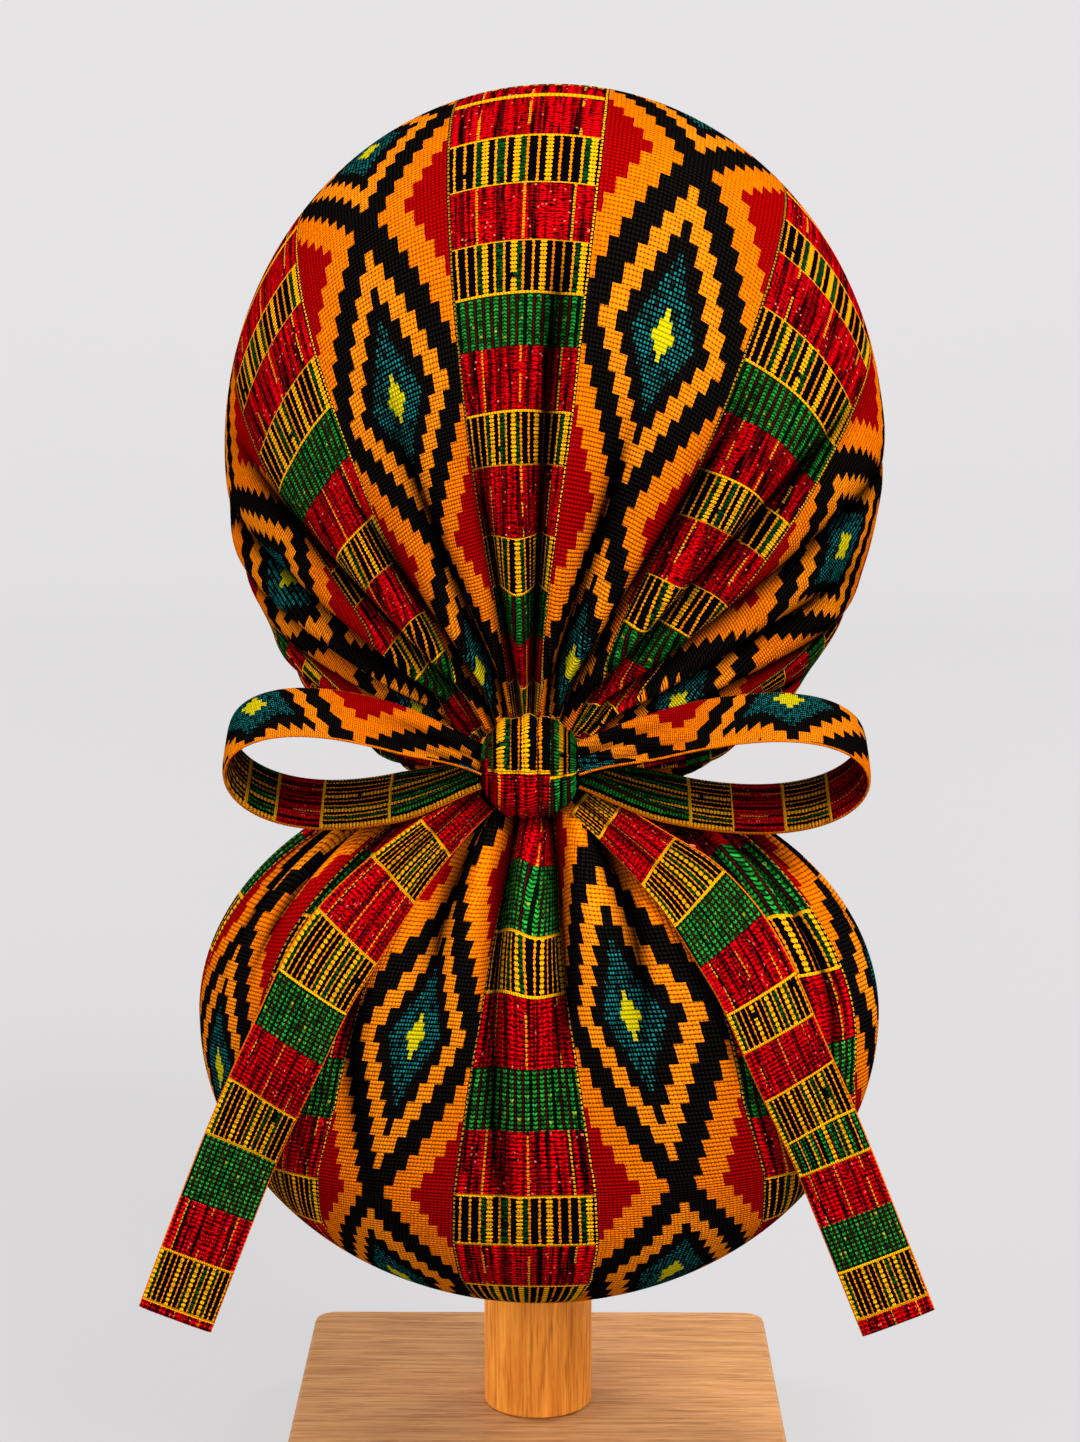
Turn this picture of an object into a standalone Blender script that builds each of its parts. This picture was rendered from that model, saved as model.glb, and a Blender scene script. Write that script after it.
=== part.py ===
"""A ponytail scrub cap tied with a bow, on a plain wooden stand.

Units are metres, +Z is up, and the origin is the middle of the stand's underside.
The rear of the cap, with its bow and hanging pouch, faces -Y, and the brow faces +Y.

The crown's cloth runs along lines from the neck, where the tie gathers it, over the dome to the
hem of the head opening. The pouch hangs from the same neck. Both are thin walls, open at the neck,
so the hollow of the crown runs on into the pouch. The ties go round the neck, make the bow and
lie on the pouch, and their ends stand clear of it.
"""
import functools
import math

import bmesh
import bpy
from mathutils import Matrix, Vector

# Stand
BASE_SIDE = 0.172
BASE_HEIGHT = 0.025
BASE_CORNER = 0.008
BASE_EDGE = 0.0015
POST_RADIUS = 0.019
POST_SIDES = 32
POST_HEAD_RADIUS = 0.045
POST_HEAD_RIM = 0.006
POST_FLARE_HEIGHT = 0.030
GAP = 0.0003
HEAD_GAP = 0.0018

# Crown: two half ellipsoids, the rear one deeper
CROWN_CENTRE = Vector((0.0055, 0.0, 0.3636))
CROWN_HALF_WIDTH = 0.1104
CROWN_HALF_HEIGHT = 0.1198
CROWN_REAR_DEPTH = 0.128
CROWN_FRONT_DEPTH = 0.116

# Head opening: the hem is low behind the ears and rises to the brow
HEM_NAPE_Z = 0.252
HEM_BROW_Z = 0.322
HEM_NAPE_Y = -0.035
HEM_BROW_Y = 0.105

# The cloth lines leave a pole low at the rear, stated on the unit sphere
POLE_ANGLE = math.radians(46.8)
POLE_X = -0.063
POLE_SPACING = 0.62
BROW_SPACING = 0.35

# Neck, where the tie gathers the cloth, in a plane tilted towards the rear
NECK_CENTRE = Vector((-0.0015, -0.092, 0.272))
NECK_RADIUS = 0.016
NECK_TILT = math.radians(28)
NECK_HALF_GAP = 0.0005
NECK_REACH = 0.038
NECK_ROWS = 0.22
SHOULDER_MOST = 0.5
NECK_OUT = 0.5
NECK_UP = 0.7
NAPE_UP = 0.8

# Pouch: an ellipsoid in four parts
POUCH_CENTRE = Vector((0.0009, -0.088, 0.190))
POUCH_HALF_WIDTH = 0.1074
POUCH_UP = 0.0787
POUCH_DOWN = 0.0932
POUCH_REAR_DEPTH = 0.062
POUCH_FRONT_DEPTH = 0.032
POUCH_FRONT_DROP = 0.009
POUCH_SHOULDER = math.radians(28)
POUCH_OUT = 0.15

# Cloth and its gathers
CLOTH = 0.0016
FOLD_COLUMNS = 4
CROWN_FOLDS = 16
POUCH_FOLDS = 16
CROWN_ROWS = 18
POUCH_ROWS = 12
FOLD_HEIGHT = 0.0028
FOLD_AT_NECK = 0.0004
CROWN_FOLD_REACH = 0.125
POUCH_FOLD_REACH = 0.105
FRONT_FOLD_SHARE = 0.35

# Tie, bow and knot
TIE_WIDTH = 0.024
TIE_THICKNESS = 0.002
BAND_RADIUS = 0.0194
BAND_THICKNESS = 0.0018
KNOT_HALF_SIZE = Vector((0.014, 0.0115, 0.014))
KNOT_FULLNESS = 2.6
KNOT_HEIGHT = 0.276
LOOP_SLOPE = math.radians(28)
LOOP_HALF_HEIGHT = 0.0165
LOOP_ROOT_RISE = 0.0018
LOOP_FULLEST = 0.77
LOOP_SWEEP = 0.008
ROOT_GAP = 0.0010
PINCH = 0.48
LOOP_PINCH_LENGTH = 0.032
TAIL_PINCH_LENGTH = 0.065
TAIL_LIFT = 0.0050
TAIL_BLEND = 0.003

# Reach of each loop from the knot's middle, and how far its outer end is above that
LOOPS = {
    "loop_left": {"side": -1, "reach": 0.0915, "lift": 0.0030},
    "loop_right": {"side": 1, "reach": 0.1015, "lift": 0.0005},
}

# Middle line of each tail in the view from behind: across, up, and where it lies in free air
TAILS = {
    "tail_left": [
        # x, z, free y
        (-0.0165, 0.2665, -0.119),
        (-0.0406, 0.2452, -0.125),
        (-0.0613, 0.2193, -0.125),
        (-0.0740, 0.1940, -0.125),
        (-0.0906, 0.1565, -0.124),
        (-0.1122, 0.1006, -0.120),
    ],
    "tail_right": [
        # x, z, free y
        (0.0140, 0.2660, -0.119),
        (0.0346, 0.2508, -0.125),
        (0.0495, 0.2375, -0.125),
        (0.0643, 0.2165, -0.125),
        (0.0768, 0.1883, -0.125),
        (0.0902, 0.1572, -0.125),
        (0.1127, 0.1007, -0.122),
    ],
}

WELD = 1e-6
STEP = 1e-3


def smooth(value):
    """Rise from 0 to 1 without a corner at either end."""
    value = min(max(value, 0.0), 1.0)
    return value * value * (3 - 2 * value)


def hermite(start, start_way, end, end_way, s):
    """Point at s from 0 to 1 on the curve from start to end with the given directions."""
    return (
        (2 * s**3 - 3 * s**2 + 1) * start
        + (s**3 - 2 * s**2 + s) * start_way
        + (3 * s**2 - 2 * s**3) * end
        + (s**3 - s**2) * end_way
    )


# Neck frame: the axis points from the crown to the pouch, and the back towards the knot

NECK_AXIS = Vector((0.0, -math.sin(NECK_TILT), -math.cos(NECK_TILT)))
NECK_BACK = Vector((0.0, -math.cos(NECK_TILT), math.sin(NECK_TILT)))
NECK_SIDE = Vector((1.0, 0.0, 0.0))


def neck_way(angle):
    """Direction across the neck, with angle 0 towards the knot."""
    return math.cos(angle) * NECK_BACK + math.sin(angle) * NECK_SIDE


# Crown

POLE = Vector((POLE_X, -math.cos(POLE_ANGLE), -math.sin(POLE_ANGLE))).normalized()
POLE_UP = (Vector((0.0, 0.0, 1.0)) - POLE * POLE.z).normalized()
POLE_SIDE = POLE_UP.cross(POLE)


def on_crown(unit):
    """Point of the dome for a point of the unit sphere."""
    depth = CROWN_REAR_DEPTH if unit.y < 0 else CROWN_FRONT_DEPTH
    return CROWN_CENTRE + Vector((unit.x * CROWN_HALF_WIDTH, unit.y * depth, unit.z * CROWN_HALF_HEIGHT))


def hem_height(y):
    return HEM_NAPE_Z + (HEM_BROW_Z - HEM_NAPE_Z) * smooth((y - HEM_NAPE_Y) / (HEM_BROW_Y - HEM_NAPE_Y))


@functools.lru_cache(maxsize=None)
def hem_point(bearing):
    """Point of the hem on the unit sphere, at a bearing seen from above, 0 at the brow."""
    inside = 0.05
    outside = 1.0
    for _ in range(40):
        radius = (inside + outside) / 2
        height = -math.sqrt(1 - radius**2)
        unit = Vector((radius * math.sin(bearing), radius * math.cos(bearing), height))
        point = on_crown(unit)
        if point.z < hem_height(point.y):
            inside = radius
        else:
            outside = radius
    return unit


def crown_line(x, s):
    """Point of the dome on one cloth line, with s from 0 at the pole to 1 at the hem.

    Each line is the circle that leaves the pole at a turn from upwards, and ends on the hem at a
    bearing from the brow. x is 0 for the line over the top and 1 or -1 for the nape's, and the
    lines are closer over the top. Equal steps of s are equal arcs.
    """
    turn = math.pi * x * (POLE_SPACING + (1 - POLE_SPACING) * x * x)
    bearing = math.pi * x * (BROW_SPACING + (1 - BROW_SPACING) * x * x)
    leave = math.cos(turn) * POLE_UP + math.sin(turn) * POLE_SIDE
    chord = hem_point(bearing) - POLE
    inward = (chord - leave * chord.dot(leave)).normalized()
    swing = s * math.atan2(chord.dot(inward), chord.dot(leave))
    heading = math.cos(swing) * leave + math.sin(swing) * inward
    return on_crown(POLE - 2 * POLE.dot(inward) * math.sin(swing) * heading)


@functools.lru_cache(maxsize=None)
def shoulder(x):
    """Share of a line at which it leaves the gathers round the neck."""
    near = 0.0
    far = SHOULDER_MOST
    if (crown_line(x, far) - NECK_CENTRE).length < NECK_REACH:
        return far
    for _ in range(24):
        middle = (near + far) / 2
        if (crown_line(x, middle) - NECK_CENTRE).length < NECK_REACH:
            near = middle
        else:
            far = middle
    return far


def crown_base(a, b):
    """Smooth form of the crown, with a once round the neck and b from the neck to the hem."""
    x = 2 * a - 1
    first = shoulder(x)
    if b >= NECK_ROWS:
        return crown_line(x, first + (1 - first) * (b - NECK_ROWS) / (1 - NECK_ROWS))
    end = crown_line(x, first)
    end_way = (crown_line(x, first + STEP) - end).normalized()
    across = end - NECK_CENTRE
    angle = math.atan2(across.dot(NECK_SIDE), across.dot(NECK_BACK))
    way = neck_way(angle)
    start = NECK_CENTRE + NECK_RADIUS * way - NECK_HALF_GAP * NECK_AXIS
    upright = NAPE_UP + (NECK_UP - NAPE_UP) * (1 + math.cos(angle)) / 2
    start_way = NECK_OUT * way - upright * NECK_AXIS
    length = (end - start).length
    return hermite(start, start_way * length, end, end_way * length, b / NECK_ROWS)


# Pouch


def on_pouch(turn, fall):
    """Point of the pouch at an angle about the upright axis from the rear, and from the top."""
    depth = POUCH_REAR_DEPTH if math.cos(turn) > 0 else POUCH_FRONT_DEPTH
    front = (1 - math.cos(turn)) / 2
    height = POUCH_UP - POUCH_FRONT_DROP * front**4 if fall < math.pi / 2 else POUCH_DOWN
    return POUCH_CENTRE + Vector((
        POUCH_HALF_WIDTH * math.sin(fall) * math.sin(turn),
        -depth * math.sin(fall) * math.cos(turn),
        height * math.cos(fall),
    ))


def pouch_base(a, b):
    """Smooth form of the pouch, with b from 0 at the neck to 1 at its lowest point."""
    turn = math.pi * (2 * a - 1)
    if b >= NECK_ROWS:
        share = (b - NECK_ROWS) / (1 - NECK_ROWS)
        return on_pouch(turn, POUCH_SHOULDER + (math.pi - POUCH_SHOULDER) * share)
    end = on_pouch(turn, POUCH_SHOULDER)
    end_way = (on_pouch(turn, POUCH_SHOULDER + STEP) - end).normalized()
    way = neck_way(turn)
    start = NECK_CENTRE + NECK_RADIUS * way + NECK_HALF_GAP * NECK_AXIS
    start_way = POUCH_OUT * way + NECK_UP * NECK_AXIS
    length = (end - start).length
    return hermite(start, start_way * length, end, end_way * length, b / NECK_ROWS)


def pouch_rear(x, z):
    """How far back the pouch reaches at a place of the view from behind, or None beside it."""
    across = (x - POUCH_CENTRE.x) / POUCH_HALF_WIDTH
    height = POUCH_UP if z > POUCH_CENTRE.z else POUCH_DOWN
    room = 1 - across**2 - ((z - POUCH_CENTRE.z) / height) ** 2
    if room <= 0:
        return None
    return POUCH_CENTRE.y - POUCH_REAR_DEPTH * math.sqrt(room)


# Gathers


def fold_depth(distance, reach):
    """Height of the folds at a distance from the neck's middle: slight at the neck, none at reach."""
    share = min(max((distance - NECK_RADIUS) / (reach - NECK_RADIUS), 0.0), 1.0)
    return FOLD_AT_NECK * (1 - share) + FOLD_HEIGHT * math.sin(math.pi * share**0.9)


def gathered(base, folds, reach):
    """A form whose surface is raised and lowered along the cloth lines."""

    def place(a, b):
        point = base(a, b)
        low = max(b - STEP, 0.0)
        high = min(b + STEP, 1.0)
        normal = (base(a + STEP, b) - base(a - STEP, b)).cross(base(a, high) - base(a, low))
        if normal.length < 1e-12:
            return point
        facing = (1 - math.cos(2 * math.pi * a)) / 2
        share = FRONT_FOLD_SHARE + (1 - FRONT_FOLD_SHARE) * facing
        depth = fold_depth((point - NECK_CENTRE).length, reach) * share
        return point + normal.normalized() * depth * math.cos(2 * math.pi * folds * a)

    return place


# Objects


def material(name, colour, roughness):
    made = bpy.data.materials.new(name)
    made.use_nodes = True
    shader = made.node_tree.nodes["Principled BSDF"]
    shader.inputs["Base Color"].default_value = (*colour, 1.0)
    shader.inputs["Roughness"].default_value = roughness
    return made


def add_object(name, mesh, finish):
    made = bpy.data.objects.new(name, mesh)
    made.data.materials.append(finish)
    model.objects.link(made)
    return made


def thicken(target, thickness, offset):
    wall = target.modifiers.new("Wall", "SOLIDIFY")
    wall.thickness = thickness
    wall.offset = offset


def surface(name, place, across, along, finish):
    """An open grid with its points moved to place(a, b), where a and b run from 0 to 1."""
    grid = bmesh.new()
    bmesh.ops.create_grid(grid, x_segments=across, y_segments=along, size=0.5)
    for vertex in grid.verts:
        vertex.co = place(vertex.co.x + 0.5, vertex.co.y + 0.5)
    bmesh.ops.remove_doubles(grid, verts=grid.verts, dist=WELD)
    mesh = bpy.data.meshes.new(name)
    grid.to_mesh(mesh)
    grid.free()
    mesh.shade_smooth()
    return add_object(name, mesh, finish)


def make_crown(finish):
    place = gathered(crown_base, CROWN_FOLDS, CROWN_FOLD_REACH)
    crown = surface("crown", place, CROWN_FOLDS * FOLD_COLUMNS, CROWN_ROWS, finish)
    thicken(crown, CLOTH, -1)


def make_pouch(finish):
    place = gathered(pouch_base, POUCH_FOLDS, POUCH_FOLD_REACH)

    def mirrored(a, b):
        """The same form run the other way round, so that its faces look outwards."""
        return place(1 - a, b)

    pouch = surface("pouch", mirrored, POUCH_FOLDS * FOLD_COLUMNS, POUCH_ROWS, finish)
    thicken(pouch, CLOTH, -1)


def make_band(finish):
    """The tie's turn round the neck, as a plain ring between the crown and the pouch."""
    bpy.ops.mesh.primitive_torus_add(
        major_radius=BAND_RADIUS,
        minor_radius=BAND_THICKNESS,
        major_segments=32,
        minor_segments=8,
    )
    band = bpy.context.object
    band.name = "tie_band"
    band.data.name = "tie_band"
    band.location = NECK_CENTRE
    band.rotation_euler = NECK_AXIS.to_track_quat("Z", "Y").to_euler()
    band.data.materials.append(finish)
    band.data.shade_smooth()
    for holder in list(band.users_collection):
        holder.objects.unlink(band)
    model.objects.link(band)


BAND_BACK_Y = NECK_CENTRE.y - BAND_RADIUS * math.cos(NECK_TILT) - BAND_THICKNESS
KNOT_CENTRE = Vector((NECK_CENTRE.x, BAND_BACK_Y - GAP - KNOT_HALF_SIZE.y, KNOT_HEIGHT))


def make_knot(finish):
    """The knot, a full rounded block."""
    ball = bmesh.new()
    bmesh.ops.create_uvsphere(ball, u_segments=20, v_segments=12, radius=1.0)
    for vertex in ball.verts:
        way = vertex.co.normalized()
        total = sum(abs(part) ** KNOT_FULLNESS for part in way)
        radius = total ** (-1 / KNOT_FULLNESS)
        vertex.co = Vector(radius * part * half for part, half in zip(way, KNOT_HALF_SIZE))
    mesh = bpy.data.meshes.new("knot")
    ball.to_mesh(mesh)
    ball.free()
    mesh.shade_smooth()
    knot = add_object("knot", mesh, finish)
    knot.location = KNOT_CENTRE


def make_loop(name, side, reach, lift, finish):
    """One loop of the bow: a flat tie bent into a drop shape, narrowed where the knot holds it."""
    across = Vector((0.0, math.cos(LOOP_SLOPE), math.sin(LOOP_SLOPE)))
    above = Vector((0.0, -math.sin(LOOP_SLOPE), math.cos(LOOP_SLOPE)))
    root = KNOT_HALF_SIZE.x + ROOT_GAP

    def place(a, b):
        angle = 2 * math.pi * a
        out = (1 - math.cos(angle)) / 2
        bow = LOOP_HALF_HEIGHT / LOOP_FULLEST * math.sin(angle) * math.sin(angle / 2)
        bow += LOOP_ROOT_RISE * math.cos(angle / 2)
        distance = root + (reach - root) * out
        width = TIE_WIDTH * (PINCH + (1 - PINCH) * smooth((distance - root) / LOOP_PINCH_LENGTH))
        point = KNOT_CENTRE + Vector((side * distance, LOOP_SWEEP * out**2, 0.0))
        return point + above * (bow + lift * out) + across * width * (b - 0.5)

    loop = surface(name, place, 28, 3, finish)
    thicken(loop, TIE_THICKNESS, 0)


def through(rows, s):
    """Smooth curve through the rows of a table, with s from 0 to 1, evenly by row."""
    last = len(rows) - 1
    place = s * last
    index = min(int(place), last - 1)
    part = place - index
    before = rows[max(index - 1, 0)]
    after = rows[min(index + 2, last)]
    start = rows[index]
    end = rows[index + 1]
    return hermite(start, (end - before) / 2, end, (after - start) / 2, part)


def make_tail(name, table, finish):
    """One tail: flat on the pouch where the pouch is behind it, and straight on in free air."""
    rows = [Vector(row) for row in table]
    root = rows[0]

    def place(a, b):
        middle = through(rows, a)
        ahead = through(rows, min(a + STEP, 1.0)) - through(rows, max(a - STEP, 0.0))
        across = Vector((ahead.y, -ahead.x)).normalized()
        distance = math.hypot(middle.x - root.x, middle.y - root.y)
        width = TIE_WIDTH * (PINCH + (1 - PINCH) * smooth(distance / TAIL_PINCH_LENGTH))
        x = middle.x + across.x * width * (b - 0.5)
        z = middle.y + across.y * width * (b - 0.5)
        behind = pouch_rear(x, z)
        if behind is None:
            return Vector((x, middle.z, z))
        lying = behind - TAIL_LIFT
        deeper = 0.5 * (lying + middle.z - math.hypot(lying - middle.z, TAIL_BLEND))
        return Vector((x, deeper, z))

    tail = surface(name, place, 22, 3, finish)
    thicken(tail, TIE_THICKNESS, 0)


def make_post(finish):
    """The post, one turned piece whose domed head carries the crown from inside."""
    inner_top = CROWN_HALF_HEIGHT - CLOTH - HEAD_GAP

    def dome(radius):
        """Height of the head's top under the crown, whose middle is to one side of the post."""
        share = (radius + abs(CROWN_CENTRE.x)) / (CROWN_HALF_WIDTH - CLOTH)
        return CROWN_CENTRE.z + inner_top * math.sqrt(1 - share**2)

    rim = dome(POST_HEAD_RADIUS)
    radii = [POST_HEAD_RADIUS * step / 6 for step in range(7)]
    profile = [(radius, dome(radius)) for radius in radii]
    profile.append((POST_HEAD_RADIUS, rim - POST_HEAD_RIM))
    for step in range(1, 6):
        angle = math.pi / 2 * step / 5
        flare = (POST_HEAD_RADIUS - POST_RADIUS) * (1 - math.sin(angle))
        drop = POST_FLARE_HEIGHT * (1 - math.cos(angle))
        profile.append((POST_RADIUS + flare, rim - POST_HEAD_RIM - drop))
    foot = BASE_HEIGHT + GAP
    profile.append((POST_RADIUS, foot))
    profile.append((0.0, foot))
    mesh = bpy.data.meshes.new("stand_post")
    mesh.from_pydata(
        [(radius, 0.0, height) for radius, height in profile],
        [(index, index + 1) for index in range(len(profile) - 1)],
        [],
    )
    post = add_object("stand_post", mesh, finish)
    turned = post.modifiers.new("Turned", "SCREW")
    turned.steps = POST_SIDES
    turned.render_steps = POST_SIDES
    turned.use_merge_vertices = True
    turned.merge_threshold = 0.00005


def make_base(finish):
    """The base, a square block with round corners and eased edges."""
    block = bmesh.new()
    sides = Matrix.Diagonal((BASE_SIDE, BASE_SIDE, BASE_HEIGHT, 1.0))
    bmesh.ops.create_cube(block, size=1.0, matrix=sides)
    upright = [
        edge for edge in block.edges
        if abs(edge.verts[0].co.z - edge.verts[1].co.z) > BASE_HEIGHT / 2
    ]
    bmesh.ops.bevel(block, geom=upright, offset=BASE_CORNER, segments=5, profile=0.5, affect="EDGES")
    mesh = bpy.data.meshes.new("stand_base")
    block.to_mesh(mesh)
    block.free()
    base = add_object("stand_base", mesh, finish)
    base.location = (0.0, 0.0, BASE_HEIGHT / 2)
    eased = base.modifiers.new("Eased", "BEVEL")
    eased.width = BASE_EDGE
    eased.segments = 2
    eased.limit_method = "ANGLE"
    eased.angle_limit = math.radians(50)


for old in list(bpy.data.objects):
    bpy.data.objects.remove(old)
model = bpy.data.collections.new("ponytail_scrub_cap")
bpy.context.scene.collection.children.link(model)

crown_cloth = material("crown_cloth", (0.72, 0.24, 0.04), 0.85)
pouch_cloth = material("pouch_cloth", (0.70, 0.22, 0.04), 0.85)
tie_cloth = material("tie_cloth", (0.60, 0.12, 0.05), 0.85)
post_wood = material("post_wood", (0.60, 0.34, 0.15), 0.5)
base_wood = material("base_wood", (0.64, 0.40, 0.20), 0.5)

make_crown(crown_cloth)
make_pouch(pouch_cloth)
make_band(tie_cloth)
make_knot(tie_cloth)
for loop_name, sizes in LOOPS.items():
    make_loop(loop_name, sizes["side"], sizes["reach"], sizes["lift"], tie_cloth)
for tail_name, stations in TAILS.items():
    make_tail(tail_name, stations, tie_cloth)
make_post(post_wood)
make_base(base_wood)
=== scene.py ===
import math
from functools import partialmethod
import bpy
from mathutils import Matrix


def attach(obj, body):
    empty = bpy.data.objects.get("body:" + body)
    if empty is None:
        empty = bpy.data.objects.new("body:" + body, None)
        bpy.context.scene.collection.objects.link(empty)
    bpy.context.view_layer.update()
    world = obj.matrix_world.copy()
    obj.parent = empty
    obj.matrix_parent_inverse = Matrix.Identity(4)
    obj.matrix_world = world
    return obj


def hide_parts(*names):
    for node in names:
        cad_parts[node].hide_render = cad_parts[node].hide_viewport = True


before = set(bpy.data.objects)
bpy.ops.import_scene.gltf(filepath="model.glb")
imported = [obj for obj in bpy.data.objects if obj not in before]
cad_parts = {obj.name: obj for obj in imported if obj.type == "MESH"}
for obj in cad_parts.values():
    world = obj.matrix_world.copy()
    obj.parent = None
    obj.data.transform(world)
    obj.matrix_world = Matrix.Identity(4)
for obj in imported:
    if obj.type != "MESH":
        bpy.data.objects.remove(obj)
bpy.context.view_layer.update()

from types import SimpleNamespace

import bmesh
import bpy
import numpy as np
from mathutils import Vector

# Sizes of the CAD model, in metres, as the source states them

CROWN_CENTRE = np.array([0.0055, 0.0, 0.3636])
CROWN_HALF_WIDTH = 0.1104
CROWN_HALF_HEIGHT = 0.1198
CROWN_REAR_DEPTH = 0.128
CROWN_FRONT_DEPTH = 0.116
HEM_NAPE_Z = 0.252
HEM_BROW_Z = 0.322
HEM_NAPE_Y = -0.035
HEM_BROW_Y = 0.105
POLE_ANGLE = math.radians(46.8)
POLE_X = -0.063
POLE_SPACING = 0.62
BROW_SPACING = 0.35
NECK_CENTRE = np.array([-0.0015, -0.092, 0.272])
NECK_RADIUS = 0.016
NECK_TILT = math.radians(28)
NECK_HALF_GAP = 0.0005
NECK_REACH = 0.038
SHOULDER_MOST = 0.5
NECK_OUT = 0.5
NECK_UP = 0.7
NAPE_UP = 0.8
POUCH_CENTRE = np.array([0.0009, -0.088, 0.190])
POUCH_HALF_WIDTH = 0.1074
POUCH_UP = 0.0787
POUCH_DOWN = 0.0932
POUCH_REAR_DEPTH = 0.062
POUCH_FRONT_DEPTH = 0.032
POUCH_FRONT_DROP = 0.009
POUCH_SHOULDER = math.radians(28)
POUCH_OUT = 0.15
TIE_WIDTH = 0.024
BAND_RADIUS = 0.0194
BAND_THICKNESS = 0.0018
KNOT_HALF_SIZE = np.array([0.014, 0.0115, 0.014])
KNOT_HEIGHT = 0.276
GAP = 0.0003
LOOP_SLOPE = math.radians(28)
LOOP_HALF_HEIGHT = 0.0165
LOOP_ROOT_RISE = 0.0018
LOOP_FULLEST = 0.77
LOOP_SWEEP = 0.008
ROOT_GAP = 0.0010
PINCH = 0.48
TAIL_PINCH_LENGTH = 0.065
TAIL_LIFT = 0.0050
TAIL_BLEND = 0.003
BASE_HEIGHT = 0.025
POST_RADIUS = 0.019
POST_HEAD_RADIUS = 0.045
POST_HEAD_RIM = 0.006
POST_FLARE_HEIGHT = 0.030
HEAD_GAP = 0.0018
CAD_CLOTH = 0.0016

# The cloth's real thickness, and a millimetre

CLOTH = 0.0009
MM = 0.001

# Numbers


def smooth(value):
    """Rise from 0 to 1 without a corner at either end."""
    value = np.clip(value, 0.0, 1.0)
    return value * value * (3 - 2 * value)


def unit(vectors):
    return vectors / np.linalg.norm(vectors, axis=-1, keepdims=True)


def hermite(start, start_way, end, end_way, s):
    return (
        (2 * s**3 - 3 * s**2 + 1) * start
        + (s**3 - 2 * s**2 + s) * start_way
        + (3 * s**2 - 2 * s**3) * end
        + (s**3 - s**2) * end_way
    )


def step_lengths(points, axis=0):
    return np.linalg.norm(np.diff(points, axis=axis), axis=-1)


def run_along(line):
    """Distance of each point of a line from its start, in millimetres."""
    return np.concatenate([[0], np.cumsum(step_lengths(line))]) / MM


NECK_AXIS = np.array([0.0, -math.sin(NECK_TILT), -math.cos(NECK_TILT)])
NECK_BACK = np.array([0.0, -math.cos(NECK_TILT), math.sin(NECK_TILT)])
NECK_SIDE = np.array([1.0, 0.0, 0.0])


def neck_way(angle):
    return np.cos(angle)[..., None] * NECK_BACK + np.sin(angle)[..., None] * NECK_SIDE


def wander(angle, seed, waves, strength):
    """A smooth random wave that closes after one turn."""
    rng = np.random.default_rng(seed)
    total = np.zeros_like(angle)
    for wave in waves:
        total += rng.uniform(0.5, 1.0) * np.sin(wave * angle + rng.uniform(0, 2 * math.pi))
    return strength * total / len(waves)


def neck_sweep(start, start_way, end, end_way, rows):
    """Rows of points that leave the neck along start_way and reach the body of a form along end_way."""
    length = np.linalg.norm(end - start, axis=-1, keepdims=True)
    ends = [values[:, None] for values in (start, start_way * length, end, end_way * length)]
    return hermite(*ends, np.linspace(0, 1, rows + 1)[None, :-1, None])


# Crown form

HEM_ROWS_FROM = 0.92

POLE = unit(np.array([POLE_X, -math.cos(POLE_ANGLE), -math.sin(POLE_ANGLE)]))
POLE_UP = unit(np.array([0.0, 0.0, 1.0]) - POLE * POLE[2])
POLE_SIDE = np.cross(POLE_UP, POLE)


def crown_sizes(y):
    depth = np.where(y < 0, CROWN_REAR_DEPTH, CROWN_FRONT_DEPTH)
    return np.stack([np.full_like(y, CROWN_HALF_WIDTH), depth, np.full_like(y, CROWN_HALF_HEIGHT)], -1)


def on_crown(units):
    return CROWN_CENTRE + units * crown_sizes(units[..., 1])


def hem_units(bearing):
    """Points of the hem on the unit sphere, at bearings seen from above, 0 at the brow."""
    inside = np.full_like(bearing, 0.05)
    outside = np.ones_like(bearing)
    for _ in range(40):
        radius = (inside + outside) / 2
        units = np.stack([radius * np.sin(bearing), radius * np.cos(bearing), -np.sqrt(1 - radius**2)], -1)
        points = on_crown(units)
        rise = smooth((points[:, 1] - HEM_NAPE_Y) / (HEM_BROW_Y - HEM_NAPE_Y))
        below = points[:, 2] < HEM_NAPE_Z + (HEM_BROW_Z - HEM_NAPE_Z) * rise
        inside = np.where(below, radius, inside)
        outside = np.where(below, outside, radius)
    return units


def line_turn(x):
    return math.pi * x * (POLE_SPACING + (1 - POLE_SPACING) * x * x)


def line_bearing(x):
    return math.pi * x * (BROW_SPACING + (1 - BROW_SPACING) * x * x)


def crown_points(x, s):
    """Points of the dome on the cloth lines x, at s from 0 at the pole to 1 at the hem."""
    turn = line_turn(x)
    leave = np.cos(turn)[:, None] * POLE_UP + np.sin(turn)[:, None] * POLE_SIDE
    chord = hem_units(line_bearing(x)) - POLE
    along = np.sum(chord * leave, -1)
    inward = unit(chord - leave * along[:, None])
    full = np.arctan2(np.sum(chord * inward, -1), along)
    swing = s * full[:, None]
    heading = np.cos(swing)[..., None] * leave[:, None] + np.sin(swing)[..., None] * inward[:, None]
    reach = -2 * (inward @ POLE)[:, None] * np.sin(swing)
    return on_crown(POLE + reach[..., None] * heading)


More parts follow.
